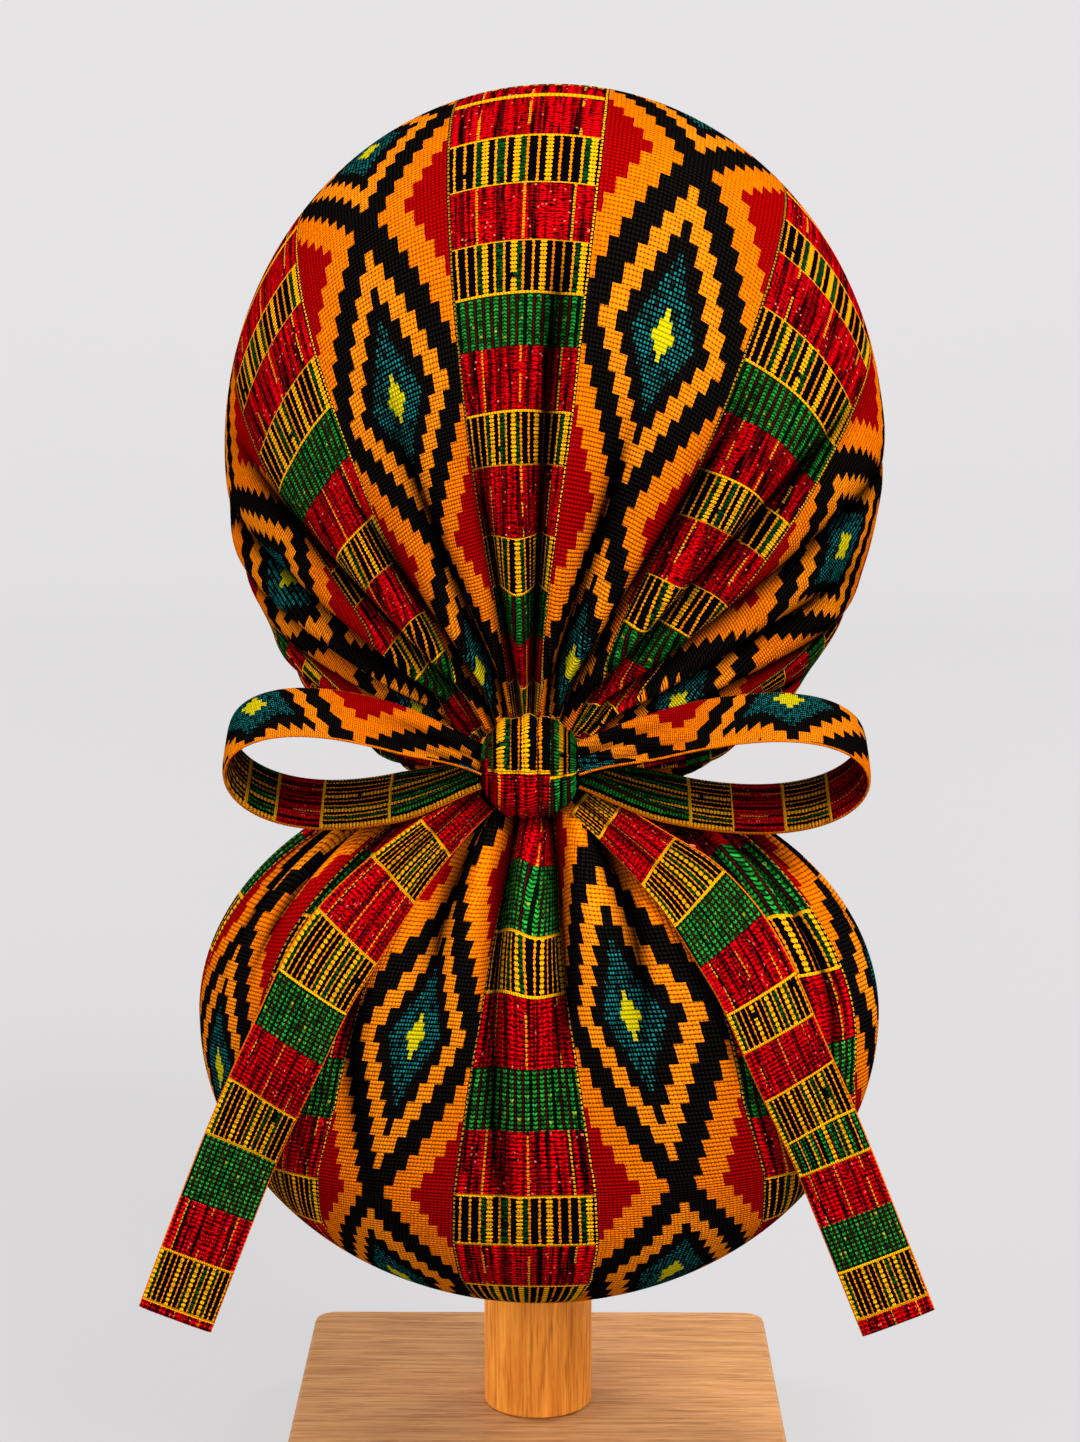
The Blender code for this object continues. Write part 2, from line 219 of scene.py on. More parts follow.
def crown_form(columns, neck_rows, dome_rows):
    """Smooth form of the crown: the cloth lines' x and a grid of points, with more rows by the hem."""
    x = np.linspace(-1, 1, columns + 1)
    near = np.zeros_like(x)
    far = np.full_like(x, SHOULDER_MOST)
    for _ in range(24):
        middle = (near + far) / 2
        points = crown_points(x, middle[:, None])[:, 0]
        close = np.linalg.norm(points - NECK_CENTRE, axis=-1) < NECK_REACH
        near = np.where(close, middle, near)
        far = np.where(close, far, middle)
    first = far[:, None]
    end = crown_points(x, first)[:, 0]
    end_way = unit(crown_points(x, first + 0.001)[:, 0] - end)
    across = end - NECK_CENTRE
    angle = np.arctan2(across @ NECK_SIDE, across @ NECK_BACK)
    way = neck_way(angle)
    start = NECK_CENTRE + NECK_RADIUS * way - NECK_HALF_GAP * NECK_AXIS
    upright = NAPE_UP + (NECK_UP - NAPE_UP) * (1 + np.cos(angle)) / 2
    neck = neck_sweep(start, NECK_OUT * way - upright[:, None] * NECK_AXIS, end, end_way, neck_rows)
    hem_rows = dome_rows // 5
    share = np.concatenate([
        np.linspace(0, HEM_ROWS_FROM, dome_rows - hem_rows + 1)[:-1],
        np.linspace(HEM_ROWS_FROM, 1, hem_rows + 1),
    ])
    dome = crown_points(x, first + (1 - first) * share[None])
    return x, np.concatenate([neck, dome], 1)


# Pouch form


def on_pouch(turn, fall):
    depth = np.where(np.cos(turn) > 0, POUCH_REAR_DEPTH, POUCH_FRONT_DEPTH)
    front = (1 - np.cos(turn)) / 2
    height = np.where(fall < math.pi / 2, POUCH_UP - POUCH_FRONT_DROP * front**4, POUCH_DOWN)
    return POUCH_CENTRE + np.stack([
        POUCH_HALF_WIDTH * np.sin(fall) * np.sin(turn),
        -depth * np.sin(fall) * np.cos(turn),
        height * np.cos(fall),
    ], -1)


def pouch_form(columns, neck_rows, body_rows):
    """Smooth form of the pouch: the turn of each line, 0 at the rear, and a grid of points."""
    turn = np.linspace(math.pi, -math.pi, columns + 1)
    end = on_pouch(turn, POUCH_SHOULDER)
    end_way = unit(on_pouch(turn, POUCH_SHOULDER + 0.001) - end)
    way = neck_way(turn)
    start = NECK_CENTRE + NECK_RADIUS * way + NECK_HALF_GAP * NECK_AXIS
    neck = neck_sweep(start, POUCH_OUT * way + NECK_UP * NECK_AXIS, end, end_way, neck_rows)
    fall = np.linspace(POUCH_SHOULDER, math.pi, body_rows + 1)
    body = on_pouch(turn[:, None], fall)
    body[:, -1] = POUCH_CENTRE - np.array([0, 0, POUCH_DOWN])
    return turn, np.concatenate([neck, body], 1)


def pouch_rear(x, z):
    """How far back the pouch reaches at places of the view from behind, far forward beside it."""
    across = (x - POUCH_CENTRE[0]) / POUCH_HALF_WIDTH
    height = np.where(z > POUCH_CENTRE[2], POUCH_UP, POUCH_DOWN)
    room = 1 - across**2 - ((z - POUCH_CENTRE[2]) / height) ** 2
    return np.where(room > 0, POUCH_CENTRE[1] - POUCH_REAR_DEPTH * np.sqrt(np.clip(room, 0, 1)), 1.0)


# Gathers


def normals(points):
    """Directions across a closed grid of points, outwards."""
    wide = np.concatenate([points[-2:-1], points, points[1:2]], 0)
    around = wide[2:] - wide[:-2]
    along = np.gradient(points, axis=1)
    across = np.cross(around, along)
    size = np.linalg.norm(across, axis=-1, keepdims=True)
    return across / np.maximum(size, 1e-12)


def gather(points, angle, folds, seed, reach, least, most, front_share):
    """Raise and lower a grid in folds that run out from the neck.

    angle is the direction of each line round the neck, 0 at the knot. The ridges are round and the
    valleys narrow, and each fold has its own height and reach. Returns the grid, its painted shade
    (dark in the valleys, below zero for a painted highlight on the ridge tops), the folds' phase, and
    how tightly they are drawn in.
    """
    drift = wander(angle, seed, (2, 3, 5, 7), 1.1)
    height = 1 + wander(angle, seed + 1, (4, 7, 11, 13), 0.75)
    far = reach * (1 + wander(angle, seed + 2, (3, 8, 12, 17), 0.55))
    phase = folds * angle + 2.4 * drift
    ridge = 2 * np.abs(np.cos(phase / 2)) ** 0.65 - 1
    fine = np.cos((folds * 2 + 5) * angle + wander(angle, seed + 3, (3, 4, 6), 3.0))
    distance = np.linalg.norm(points - NECK_CENTRE, axis=-1)
    share = np.clip((distance - NECK_RADIUS) / (far[:, None] - NECK_RADIUS), 0, 1)
    facing = front_share + (1 - front_share) * (1 + np.cos(angle)) / 2
    rise = least + (most - least) * smooth(share / 0.22)
    depth = rise * (1 - smooth((share - 0.18) / 0.82)) * (height * facing)[:, None]
    close = 1 - smooth(distance / 0.085)
    moved = depth * ridge[:, None] + 0.0008 * close * fine[:, None]
    tight = np.clip(depth / (0.75 * most), 0, 1) ** 0.7 * (1 - smooth((distance - 0.045) / 0.075))
    # Painted shade in the valleys of the folds and of the fine wrinkles by the neck, and a painted
    # highlight, as negative shade, on the ridge tops
    outer = smooth((distance - 0.03) / 0.05)
    painted_shade = (1.05 + 0.95 * outer) * (0.5 - 0.5 * ridge[:, None]) ** (0.7 + 1.1 * outer)
    painted_shade = painted_shade * np.clip(depth / (0.30 * most), 0, 1) ** 0.7
    painted_shade = painted_shade + 0.45 * close * np.clip(-fine, 0, 1)[:, None] ** 2
    painted_shade = np.clip(painted_shade, 0, 1) - 0.30 * tight * np.clip(ridge, 0, 1)[:, None] ** 3
    return points + normals(points) * moved[..., None], painted_shade, phase, tight


def bunched(across, phase, tight):
    """The print's place across, with most of the cloth drawn down into the valleys of the folds."""
    slope = np.gradient(across, axis=0) / np.gradient(phase)[:, None]
    return across - 0.8 * tight * slope * np.sin(phase)[:, None]


def slipped(along, angle, tight, seed):
    """The print's place along, a little further out on some folds than on others."""
    return along + 4.5 * tight * wander(angle, seed, (9, 14, 19, 26, 33), 1.0)[:, None]


# Meshes


def grid_object(name, points, maps, fields, materials, flip=False, slots=None, closed=False):
    """An object from a grid of points, with UV maps and point values on the same grid.

    A closed one has its open ends filled and its faces turned outwards.
    """
    wide, long = points.shape[:2]
    index = np.arange(wide * long).reshape(wide, long)
    corners = np.stack([index[:-1, :-1], index[1:, :-1], index[1:, 1:], index[:-1, 1:]], -1).reshape(-1, 4)
    if flip:
        corners = corners[:, ::-1]
    mesh = bpy.data.meshes.new(name)
    mesh.from_pydata(points.reshape(-1, 3).tolist(), [], corners.tolist())
    flat = corners.reshape(-1)
    for map_name, (across, along) in maps.items():
        layer = mesh.uv_layers.new(name=map_name)
        pairs = np.stack([across.reshape(-1)[flat], along.reshape(-1)[flat]], -1)
        layer.data.foreach_set("uv", pairs.astype(np.float32).reshape(-1))
    for field, values in fields.items():
        layer = mesh.attributes.new(field, "FLOAT", "POINT")
        layer.data.foreach_set("value", values.astype(np.float32).reshape(-1))
    for finish in materials:
        mesh.materials.append(finish)
    if slots is not None:
        mesh.polygons.foreach_set("material_index", slots.reshape(-1).astype(np.int32))
    work = bmesh.new()
    work.from_mesh(mesh)
    bmesh.ops.remove_doubles(work, verts=work.verts, dist=1e-6)
    if closed:
        bmesh.ops.holes_fill(work, edges=[edge for edge in work.edges if edge.is_boundary])
        bmesh.ops.recalc_face_normals(work, faces=work.faces)
    work.to_mesh(mesh)
    work.free()
    mesh.shade_smooth()
    made = bpy.data.objects.new(name, mesh)
    bpy.context.scene.collection.objects.link(made)
    return made


def wall(piece, thickness, lining):
    """Thickness behind a surface. lining is how many slots on its inner side's material is."""
    made = piece.modifiers.new("Wall", "SOLIDIFY")
    made.thickness = thickness
    made.offset = -1
    made.material_offset = lining


def turned(profile):
    """A grid of points: a profile of radii and heights, turned round the Z axis."""
    theta = np.linspace(0, 2 * math.pi, 97)[:, None]
    radius, height = np.array(profile).T
    return np.stack([radius * np.cos(theta), radius * np.sin(theta), height + 0 * theta], -1)


# Colours and material nodes


def rgb(red, green, blue):
    """Linear colour for a colour stated from 0 to 255."""
    def linear(value):
        value /= 255
        return value / 12.92 if value <= 0.04045 else ((value + 0.055) / 1.055) ** 2.4
    return (linear(red), linear(green), linear(blue), 1.0)


ORANGE = rgb(246, 118, 0)
DEEP_ORANGE = rgb(132, 38, 0)
PEACH = rgb(252, 134, 12)
PEACH_SPOT = rgb(120, 34, 2)
RED = rgb(216, 0, 12)
DARK_RED = rgb(28, 0, 2)
TRIANGLE_RED = rgb(160, 2, 2)
PINK = rgb(255, 120, 90)
GREEN = rgb(40, 176, 60)
DARK_GREEN = rgb(4, 18, 6)
DARK_STRIPE = rgb(12, 80, 22)
MAROON = rgb(88, 8, 6)
TEAL = rgb(2, 136, 134)
YELLOW = rgb(206, 186, 8)
GOLD = rgb(255, 172, 6)
BLACK = rgb(5, 5, 6)
SOFT_BLACK = rgb(18, 15, 12)


class Finish:
    """One material, with short names for the nodes that make it."""

    def __init__(self, name):
        self.material = bpy.data.materials.new(name)
        self.material.use_nodes = True
        self.tree = self.material.node_tree
        self.shader = self.tree.nodes["Principled BSDF"]

    def feed(self, socket, value):
        if isinstance(value, bpy.types.NodeSocket):
            self.tree.links.new(value, socket)
        else:
            socket.default_value = value

    def node(self, kind, inputs, output=0, **settings):
        """A node's output. inputs and output are known by name or by place."""
        node = self.tree.nodes.new(f"ShaderNode{kind}")
        for name, value in settings.items():
            setattr(node, name, value)
        for name, value in inputs.items():
            self.feed(node.inputs[name], value)
        return node.outputs[output]

    def maths(self, operation, first, second=0.0, third=0.0):
        return self.node("Math", {0: first, 1: second, 2: third}, operation=operation)

    add = partialmethod(maths, "ADD")
    sub = partialmethod(maths, "SUBTRACT")
    mul = partialmethod(maths, "MULTIPLY")
    over = partialmethod(maths, "DIVIDE")
    less = partialmethod(maths, "LESS_THAN")
    more = partialmethod(maths, "GREATER_THAN")
    both = partialmethod(maths, "MINIMUM")
    size = partialmethod(maths, "ABSOLUTE")
    part = partialmethod(maths, "FRACT")
    whole = partialmethod(maths, "FLOOR")
    root = partialmethod(maths, "SQRT")

    def nearest(self, a):
        return self.whole(self.add(a, 0.5))

    def rise(self, start, rate, value):
        """start plus rate times value."""
        return self.add(start, self.mul(rate, value))

    def within(self, a, middle, half):
        return self.less(self.size(self.sub(a, middle)), half)

    def band(self, a):
        """1 in the middle of each unit of a, 0 at its ends, with a round profile."""
        off = self.sub(self.part(a), 0.5)
        return self.sub(1.0, self.mul(4.0, self.mul(off, off)))

    def mix(self, factor, low, high):
        return self.node("Mix", {0: factor, 6: low, 7: high}, 2, data_type="RGBA")

    def shade(self, factor, colour):
        """The colour times a number."""
        colour = colour if isinstance(colour, bpy.types.NodeSocket) else colour[:3]
        return self.node("VectorMath", {0: colour, "Scale": factor}, operation="SCALE")

    def ramp(self, value, stops, kind="CONSTANT"):
        node = self.tree.nodes.new("ShaderNodeValToRGB")
        node.color_ramp.interpolation = kind
        elements = node.color_ramp.elements
        elements.remove(elements[-1])
        elements[0].position, elements[0].color = stops[0]
        for place, colour in stops[1:]:
            elements.new(place).color = colour
        self.feed(node.inputs[0], value)
        return node.outputs[0]

    def split(self, colour):
        return self.node("SeparateColor", {0: colour}, slice(3))

    def apart(self, vector):
        return self.node("SeparateXYZ", {0: vector}, slice(3))

    def vector(self, x=0.0, y=0.0, z=0.0):
        return self.node("CombineXYZ", {0: x, 1: y, 2: z})

    def uv(self, name):
        return self.apart(self.node("UVMap", {}, uv_map=name))[:2]

    def place(self):
        return self.node("TexCoord", {}, "Object")

    def stretched(self, scale):
        """Places on the piece, scaled on each axis."""
        return self.node("Mapping", {"Vector": self.place(), "Scale": scale})

    def field(self, name):
        return self.node("Attribute", {}, "Fac", attribute_name=name)

    def noise(self, vector, scale, detail=2.0, roughness=0.5):
        inputs = {"Vector": vector, "Scale": scale, "Detail": detail, "Roughness": roughness}
        return self.node("TexNoise", inputs, "Fac")

    def cloud(self, x, y, detail=1.0, roughness=0.5):
        """Soft noise over x and y."""
        return self.noise(self.vector(x, y), 1.0, detail, roughness)

    def speck(self, x, y):
        """A random number for each cell of x and y."""
        cell = self.vector(self.whole(x), self.whole(y))
        return self.node("TexWhiteNoise", {"Vector": cell}, "Value", noise_dimensions="2D")

    def bump(self, height, distance, strength):
        inputs = {"Height": height, "Distance": distance, "Strength": strength}
        self.feed(self.shader.inputs["Normal"], self.node("Bump", inputs))

    def finish(self, colour, roughness, gloss=0.0):
        self.feed(self.shader.inputs["Base Color"], colour)
        self.feed(self.shader.inputs["Roughness"], roughness)
        self.feed(self.shader.inputs["Specular IOR Level"], gloss)
        return self.material


# The woven-stripe print, in millimetres of flat cloth. Block columns stand on even half repeats and
# diamond columns on odd ones

REPEAT = 116.0
HALF_REPEAT = REPEAT / 2
BLOCK_HALF = 26.35
CELL_WIDE = 31.65 / 9
CELL_HIGH = HALF_REPEAT / 9
GOLD_EDGE = 0.75
THREAD = 1.45
RIB = 3.1
BLACK_LINE = 12.7
GOLD_LINE = 17.0
CHAIN = 3.4
STRIPE = 3.6
BEAD = 1.75
MIXED_STRIPE = 6.0
BLOCKS_SHIFT = 10.5
TOP_MIDDLE = 116.0
TOP_HALF = 11.0
WEAVE_DEPTH = 0.00045
REVERSE_DEPTH = 0.00015

NONE, FIRST, SECOND, THIRD = (0, 0, 0, 1), (1, 0, 0, 1), (0, 1, 0, 1), (0, 0, 1, 1)
# Kinds of block: red, green, striped, green with stripes, and a plain gold line
KINDS = {"R": FIRST, "G": SECOND, "S": THIRD, "X": (0, 1, 1, 1), "L": NONE}
# Rings of a diamond from its middle: black, peach, black, orange, and the red triangles beside it
RINGS = [(0.0, FIRST), (5.5, SECOND), (7.5, FIRST), (10.5, NONE), (13.5, THIRD)]
RING_LAST = 20.0
TEAL_RINGS = 7.5
YELLOW_RINGS = 2.5


def listed(text):
    """(start, kind) of each block in a list such as "R0 S17"."""
    return [(float(block[1:]), block[0]) for block in text.split()]


def grey(value):
    return (value, value, value, 1)


CROWN_BLOCKS = listed("G0 S21 R42.1 S68.5 R89.5")


def block_stops(blocks, total):
    """Ramp stops for a list of (start, kind), with a gold line at the ends of each striped block."""
    stops = []
    last = "L"
    for start, kind in blocks:
        if {kind, last} & {"S", "X"}:
            stops.append(((start - GOLD_EDGE / 2) / total, KINDS["L"]))
            stops.append(((start + GOLD_EDGE / 2) / total, KINDS[kind]))
        else:
            stops.append((start / total, KINDS[kind]))
        last = kind
    return [(max(place, 0.0), colour) for place, colour in stops]


def block_kind(f, va, blocks, total):
    """The kind of block at va. Without a total the blocks repeat, but for a red one at the top."""
    if total is not None:
        return f.ramp(f.over(va, total), block_stops(blocks, total))
    kind = f.ramp(f.part(f.over(f.add(va, BLOCKS_SHIFT), REPEAT)), block_stops(blocks, REPEAT))
    from_top = f.over(f.sub(va, TOP_MIDDLE - TOP_HALF), 2 * TOP_HALF)
    top = f.ramp(from_top, [(0.0, KINDS["R"]), (0.05, KINDS["L"]), (0.20, KINDS["R"])])
    return f.mix(f.within(va, TOP_MIDDLE, TOP_HALF), kind, top)


def print_threads(f, u, va, vb, fine):
    """What all columns share: the place in the print, its threads, and a chance for each cell."""
    u = f.add(u, f.mul(f.sub(f.noise(f.vector(u, va), 0.45), 0.5), 0.8))
    t = f.sub(u, f.mul(REPEAT, f.nearest(f.over(u, REPEAT))))
    row = f.mul(va, fine / THREAD)
    row_b = f.mul(vb, fine / THREAD)
    column = f.mul(t, fine / THREAD)
    return SimpleNamespace(
        u=u, va=va, vb=vb, t=t, fine=fine, row=row, edge=f.size(t),
        weft=f.band(row), weft_b=f.band(row_b), rib=f.band(column),
        cell=f.speck(column, row), cell_b=f.speck(column, row_b),
    )


def red_block(f, p):
    """Curled threads over ribs, with dark streaks, black lines, light flecks and dotted gold lines."""
    def lines(shift, pitch, half):
        return f.within(f.part(f.mul(f.add(p.t, shift), p.fine / pitch)), 0.5, half)

    streak = f.cloud(f.mul(p.u, 0.42 * p.fine), f.mul(p.va, 0.02), 3.0, 0.75)
    dark = f.ramp(streak, [(0.41, grey(1)), (0.50, grey(0.35)), (0.59, grey(0))], "LINEAR")
    curl = f.cloud(f.mul(p.u, 0.38 * p.fine), f.mul(p.va, 0.38 * p.fine))
    thread = f.band(f.rise(p.row, 2.6, curl))
    ribs = f.band(f.mul(p.t, p.fine / RIB))
    light = f.mul(f.rise(0.04, 1.45, f.mul(thread, thread)), f.rise(0.32, 0.85, ribs))
    red = f.shade(light, f.mix(dark, RED, DARK_RED))
    red = f.mix(f.mul(0.85, lines(1.5, BLACK_LINE, 0.055)), red, BLACK)
    fleck = f.more(f.speck(f.mul(p.t, 1.5 * p.fine), f.mul(p.va, 1.5 * p.fine)), 0.992)
    red = f.mix(f.mul(0.8, fleck), red, PINK)
    dotted = f.both(lines(7.0, GOLD_LINE, 0.024), f.more(p.weft, 0.55))
    dotted = f.both(dotted, f.more(f.cloud(f.mul(p.u, 0.07), f.mul(p.va, 0.07)), 0.46))
    return f.mix(f.mul(0.75, dotted), red, GOLD)


def green_block(f, p):
    """Columns of short bright dashes, with maroon lines between them and a few yellow glints."""
    place = f.mul(p.t, p.fine / CHAIN)
    chain = f.part(place)
    lean = f.size(f.sub(chain, 0.42))
    link = f.band(f.rise(p.row, 1.3, lean))
    link = f.both(f.sub(f.mul(1.7, link), 0.7), f.less(lean, 0.27))
    green = f.mix(f.mul(link, f.rise(0.12, 1.1, p.cell)), DARK_GREEN, GREEN)
    maroon = f.both(f.within(chain, 0.90, 0.10), f.more(f.speck(place, 8.0), 0.45))
    green = f.mix(f.mul(maroon, p.weft), green, MAROON)
    glint = f.both(f.more(p.cell, 0.975), f.less(lean, 0.2))
    green = f.mix(f.mul(0.7, f.both(glint, p.weft)), green, YELLOW)
    patch = f.cloud(f.mul(p.t, 0.25), f.mul(p.va, 0.10), 2.0, 0.6)
    return f.shade(f.mul(1.5, patch), green)


def striped_block(f, p):
    """Beaded gold lines, some of them wide, on black and dark green."""
    place = f.add(f.mul(p.t, p.fine / STRIPE), 40.0)
    across = f.part(place)
    own = f.speck(place, 3.0)
    wide = f.more(own, 0.74)
    bead = f.band(f.rise(f.mul(p.va, p.fine / BEAD), 7.0, own))
    half = f.mul(f.rise(0.105, 0.16, wide), f.rise(0.45, 0.85, bead))
    kept = f.less(f.speck(place, f.mul(p.va, p.fine / 2.1)), 0.994)
    line = f.both(f.within(across, 0.5, half), kept)
    ladder = f.both(f.both(wide, f.within(across, 0.5, 0.07)), f.less(bead, 0.55))
    green_thread = f.both(f.more(f.speck(f.add(place, 0.5), 9.0), 0.55), f.more(p.weft, 0.5))
    striped = f.mix(f.mul(f.mul(0.9, green_thread), p.cell), BLACK, DARK_STRIPE)
    gold = f.shade(f.rise(0.50, 0.60, bead), f.mix(own, ORANGE, GOLD))
    return f.mix(f.both(line, f.sub(1.0, ladder)), striped, gold)


def block_column(f, p, kind):
    """Blocks with gold lines between them, and black edges with a dotted gold line."""
    is_red, is_green, is_striped = f.split(kind)
    green = green_block(f, p)
    block = f.shade(f.rise(0.45, 0.6, p.rib), GOLD)
    block = f.mix(is_red, block, red_block(f, p))
    block = f.mix(is_striped, block, striped_block(f, p))
    block = f.mix(f.mul(is_green, f.sub(1.0, is_striped)), block, green)
    mixed = f.mul(f.both(is_green, is_striped), f.less(f.part(f.over(p.t, MIXED_STRIPE)), 0.5))
    block = f.mix(mixed, block, green)
    block = f.mix(f.more(p.edge, BLOCK_HALF - 1.3), block, BLACK)
    dots = f.both(f.within(p.edge, BLOCK_HALF - 0.7, 0.34), f.more(f.part(f.over(p.va, BEAD)), 0.38))
    return f.mix(f.mul(f.rise(0.45, 0.5, f.more(p.t, 0.0)), dots), block, GOLD)


def diamond_column(f, p):
    """Stepped diamonds, dotted teal round a yellow middle, with red triangles beside them."""
    across = f.sub(p.edge, HALF_REPEAT)
    along = f.sub(p.vb, f.mul(REPEAT, f.nearest(f.over(p.vb, REPEAT))))

    def ring(share):
        """The ring's number, in steps of that share of a cell."""
        return f.add(
            f.size(f.nearest(f.over(across, CELL_WIDE * share))),
            f.size(f.nearest(f.over(along, CELL_HIGH * share))),
        )

    crossing = f.less(f.add(p.weft_b, p.rib), 0.92)
    weave = f.add(f.rise(0.44, 0.44, p.weft_b), f.mul(0.22, p.cell_b))
    ground = f.shade(weave, f.mix(f.mul(0.85, crossing), ORANGE, DEEP_ORANGE))
    peach = f.shade(weave, f.mix(f.mul(0.9, crossing), PEACH, PEACH_SPOT))
    black = f.shade(f.mul(p.weft_b, f.rise(0.15, 0.9, p.rib)), SOFT_BLACK)
    triangle = f.shade(f.rise(0.30, 0.85, f.both(p.rib, p.weft_b)), TRIANGLE_RED)
    stops = [(start / RING_LAST, kind) for start, kind in RINGS]
    is_black, is_peach, is_triangle = f.split(f.ramp(f.over(ring(1), RING_LAST), stops))
    diamond = f.mix(is_black, ground, black)
    diamond = f.mix(is_peach, diamond, peach)
    diamond = f.mix(is_triangle, diamond, triangle)
    half_ring = ring(0.5)
    dot = f.mul(f.more(f.both(p.weft_b, p.rib), 0.72), p.cell_b)
    diamond = f.mix(f.both(f.less(half_ring, TEAL_RINGS), dot), diamond, TEAL)
    yellow = f.shade(f.rise(0.45, 0.6, p.weft_b), YELLOW)
    return f.mix(f.less(half_ring, YELLOW_RINGS), diamond, yellow)


def print_colour(f, blocks, total=None, only=None, fine=1.0):
    """Colour and weave height of the print. only is the UV map, if one serves both kinds of column."""
    u, va = f.uv(only or "cloth_a")
    _, vb = f.uv(only or "cloth_b")
    p = print_threads(f, u, va, vb, fine)
    in_block = f.less(p.edge, BLOCK_HALF)
    block = block_column(f, p, block_kind(f, va, blocks, total))
    colour = f.mix(in_block, diamond_column(f, p), block)
    height = f.mix(in_block, f.mul(p.weft_b, f.add(0.4, p.rib)), f.mul(p.weft, f.add(0.4, p.rib)))
    return colour, height


def print_material(name, blocks, total=None, only=None, fine=1.0, tie=False, inside_shade=1.0):
    """The printed cloth, with painted shade in its folds. A tie has orange edges, and the inside of a loop
    is darkened as painted shade.
    """
    f = Finish(name)
    colour, height = print_colour(f, blocks, total, only, fine)
    if tie:
        colour = f.mix(f.more(f.field("edge"), 0.5), colour, f.shade(f.rise(0.6, 0.4, height), ORANGE))
    tone = f.noise(f.place(), 22.0, 3.0)
    # Random tone over the cloth, times the painted shade factor for the inside of a loop
    colour = f.shade(f.mul(inside_shade, f.rise(0.86, 0.28, tone)), colour)
    # Painted shade from the piece's shade field, and a painted highlight where that field is below zero
    colour = f.shade(f.sub(1.0, f.mul(0.98, f.field("painted_shade"))), colour)
    f.bump(height, WEAVE_DEPTH, 0.9)
    return f.finish(colour, 0.85)


def lining_material(name):
    """The print's paler reverse side, seen inside the cap."""
    f = Finish(name)
    colour, height = print_colour(f, CROWN_BLOCKS)
    f.bump(height, REVERSE_DEPTH, 0.8)
    return f.finish(f.mix(0.55, colour, rgb(150, 110, 84)), 0.9)


crown_print = print_material("crown_print", CROWN_BLOCKS)
reverse = lining_material("print_reverse")


def printed_cloth(name, finish, gathered, angle, across, rows, seed):
    """A gathered piece of the print, with its reverse inside.

    rows has the places along the cloth for the block columns and for the diamond columns.
    """
    points, painted_shade, phase, tight = gathered
    across = bunched(across, phase, tight)
    maps = {
        map_name: (across, slipped(along, angle, tight, seed))
        for map_name, along in zip(("cloth_a", "cloth_b"), rows)
    }
    piece = grid_object(name, points, maps, {"painted_shade": painted_shade}, [finish, reverse])
    wall(piece, CLOTH, 1)
    return piece


# Crown

HEM_WIDTH = 12.0
# Turn of each column's middle round the print's axis, in degrees, with 0 upwards
COLUMN_TURNS = {
    -6: -181.5, -5: -130, -4: -84, -3: -54.5, -2: -36.5, -1: -19, 0: -1.5,
    1: 16.5, 2: 35.7, 3: 57, 4: 84, 5: 130, 6: 178.5,
}
# Tilt from the rear end of the print's axis, in degrees, at which each column has these places
ROW_PLACES = HALF_REPEAT * np.arange(-4, 4)
ROW_TILTS = {
    -3: [-6, 9, 24, 38.5, 52.9, 69, 86, 103],
    -2: [-6, 9, 24, 39, 54.1, 71, 88, 105],
    -1: [-8, 8, 23, 37.9, 52.9, 73, 89, 106],
    0: [1, 14.5, 28.95, 44.1, 57.3, 72, 91.5, 107],
    1: [-10, 7, 24.2, 41.2, 58.3, 80, 98, 115],
    2: [-1, 14, 30.4, 46, 60, 78, 95, 112],
    3: [-1, 14, 29, 45, 63, 78, 95, 112],
}
for far_column, like in ((4, 2), (5, 3), (6, 2)):
    mean = [(left + right) / 2 for left, right in zip(ROW_TILTS[-like], ROW_TILTS[like])]
    ROW_TILTS[far_column] = ROW_TILTS[-far_column] = mean
TILTS_BEFORE, TILTS_AFTER = 45, 102
LEANING_COLUMN, LEAN = 2, 4.6
COLUMN_BLEND_FROM, COLUMN_BLEND = 0.27, 0.46
BROW_COLUMN_TURN = 30
NAPE_START = -185
PRINT_REAR_DROP = math.radians(55)
PRINT_FRONT_DROP = math.radians(25)

PRINT_REAR = unit(np.array([POLE_X, -math.cos(PRINT_REAR_DROP), -math.sin(PRINT_REAR_DROP)]))
PRINT_FRONT = np.array([0.0, math.cos(PRINT_FRONT_DROP), -math.sin(PRINT_FRONT_DROP)])
PRINT_MIDDLE = (PRINT_REAR + PRINT_FRONT) / 2
PRINT_AXIS = unit(PRINT_FRONT - PRINT_REAR)
PRINT_SIDE = unit(np.array([1.0, 0, 0]) - PRINT_AXIS * PRINT_AXIS[0])
PRINT_UP = np.cross(PRINT_SIDE, PRINT_AXIS)


def row_place(column, k, tilt):
    """Where along a column a tilt lies, in millimetres of cloth. k is the place across."""
    table = ROW_TILTS[column]
    tilts = [table[0] - TILTS_BEFORE, *table, table[-1] + TILTS_AFTER]
    places = [ROW_PLACES[0] - 3 * HALF_REPEAT, *ROW_PLACES, ROW_PLACES[-1] + 6 * HALF_REPEAT]
    if column == LEANING_COLUMN:
        tilt = tilt - LEAN * np.clip(k - column, -0.5, 0.5)
    return np.interp(tilt, tilts, places)


def rows_by_column(k, tilt, columns):
    """Rows of the print, each column by its own table, and a soft change between them."""
    total = row_place(columns[0], k, tilt)
    for before, after in zip(columns, columns[1:]):
        share = smooth(((k - before) / (after - before) - COLUMN_BLEND_FROM) / COLUMN_BLEND)
        total = total * (1 - share) + row_place(after, k, tilt) * share
    return total


def on_own_side(angle, side, share, limit):
    """Angles in degrees that go on past the seam at 180, on the side that their cloth line is on."""
    angle = np.where((side > share) & (angle < -limit), angle + 360, angle)
    return np.where((side < -share) & (angle > limit), angle - 360, angle)


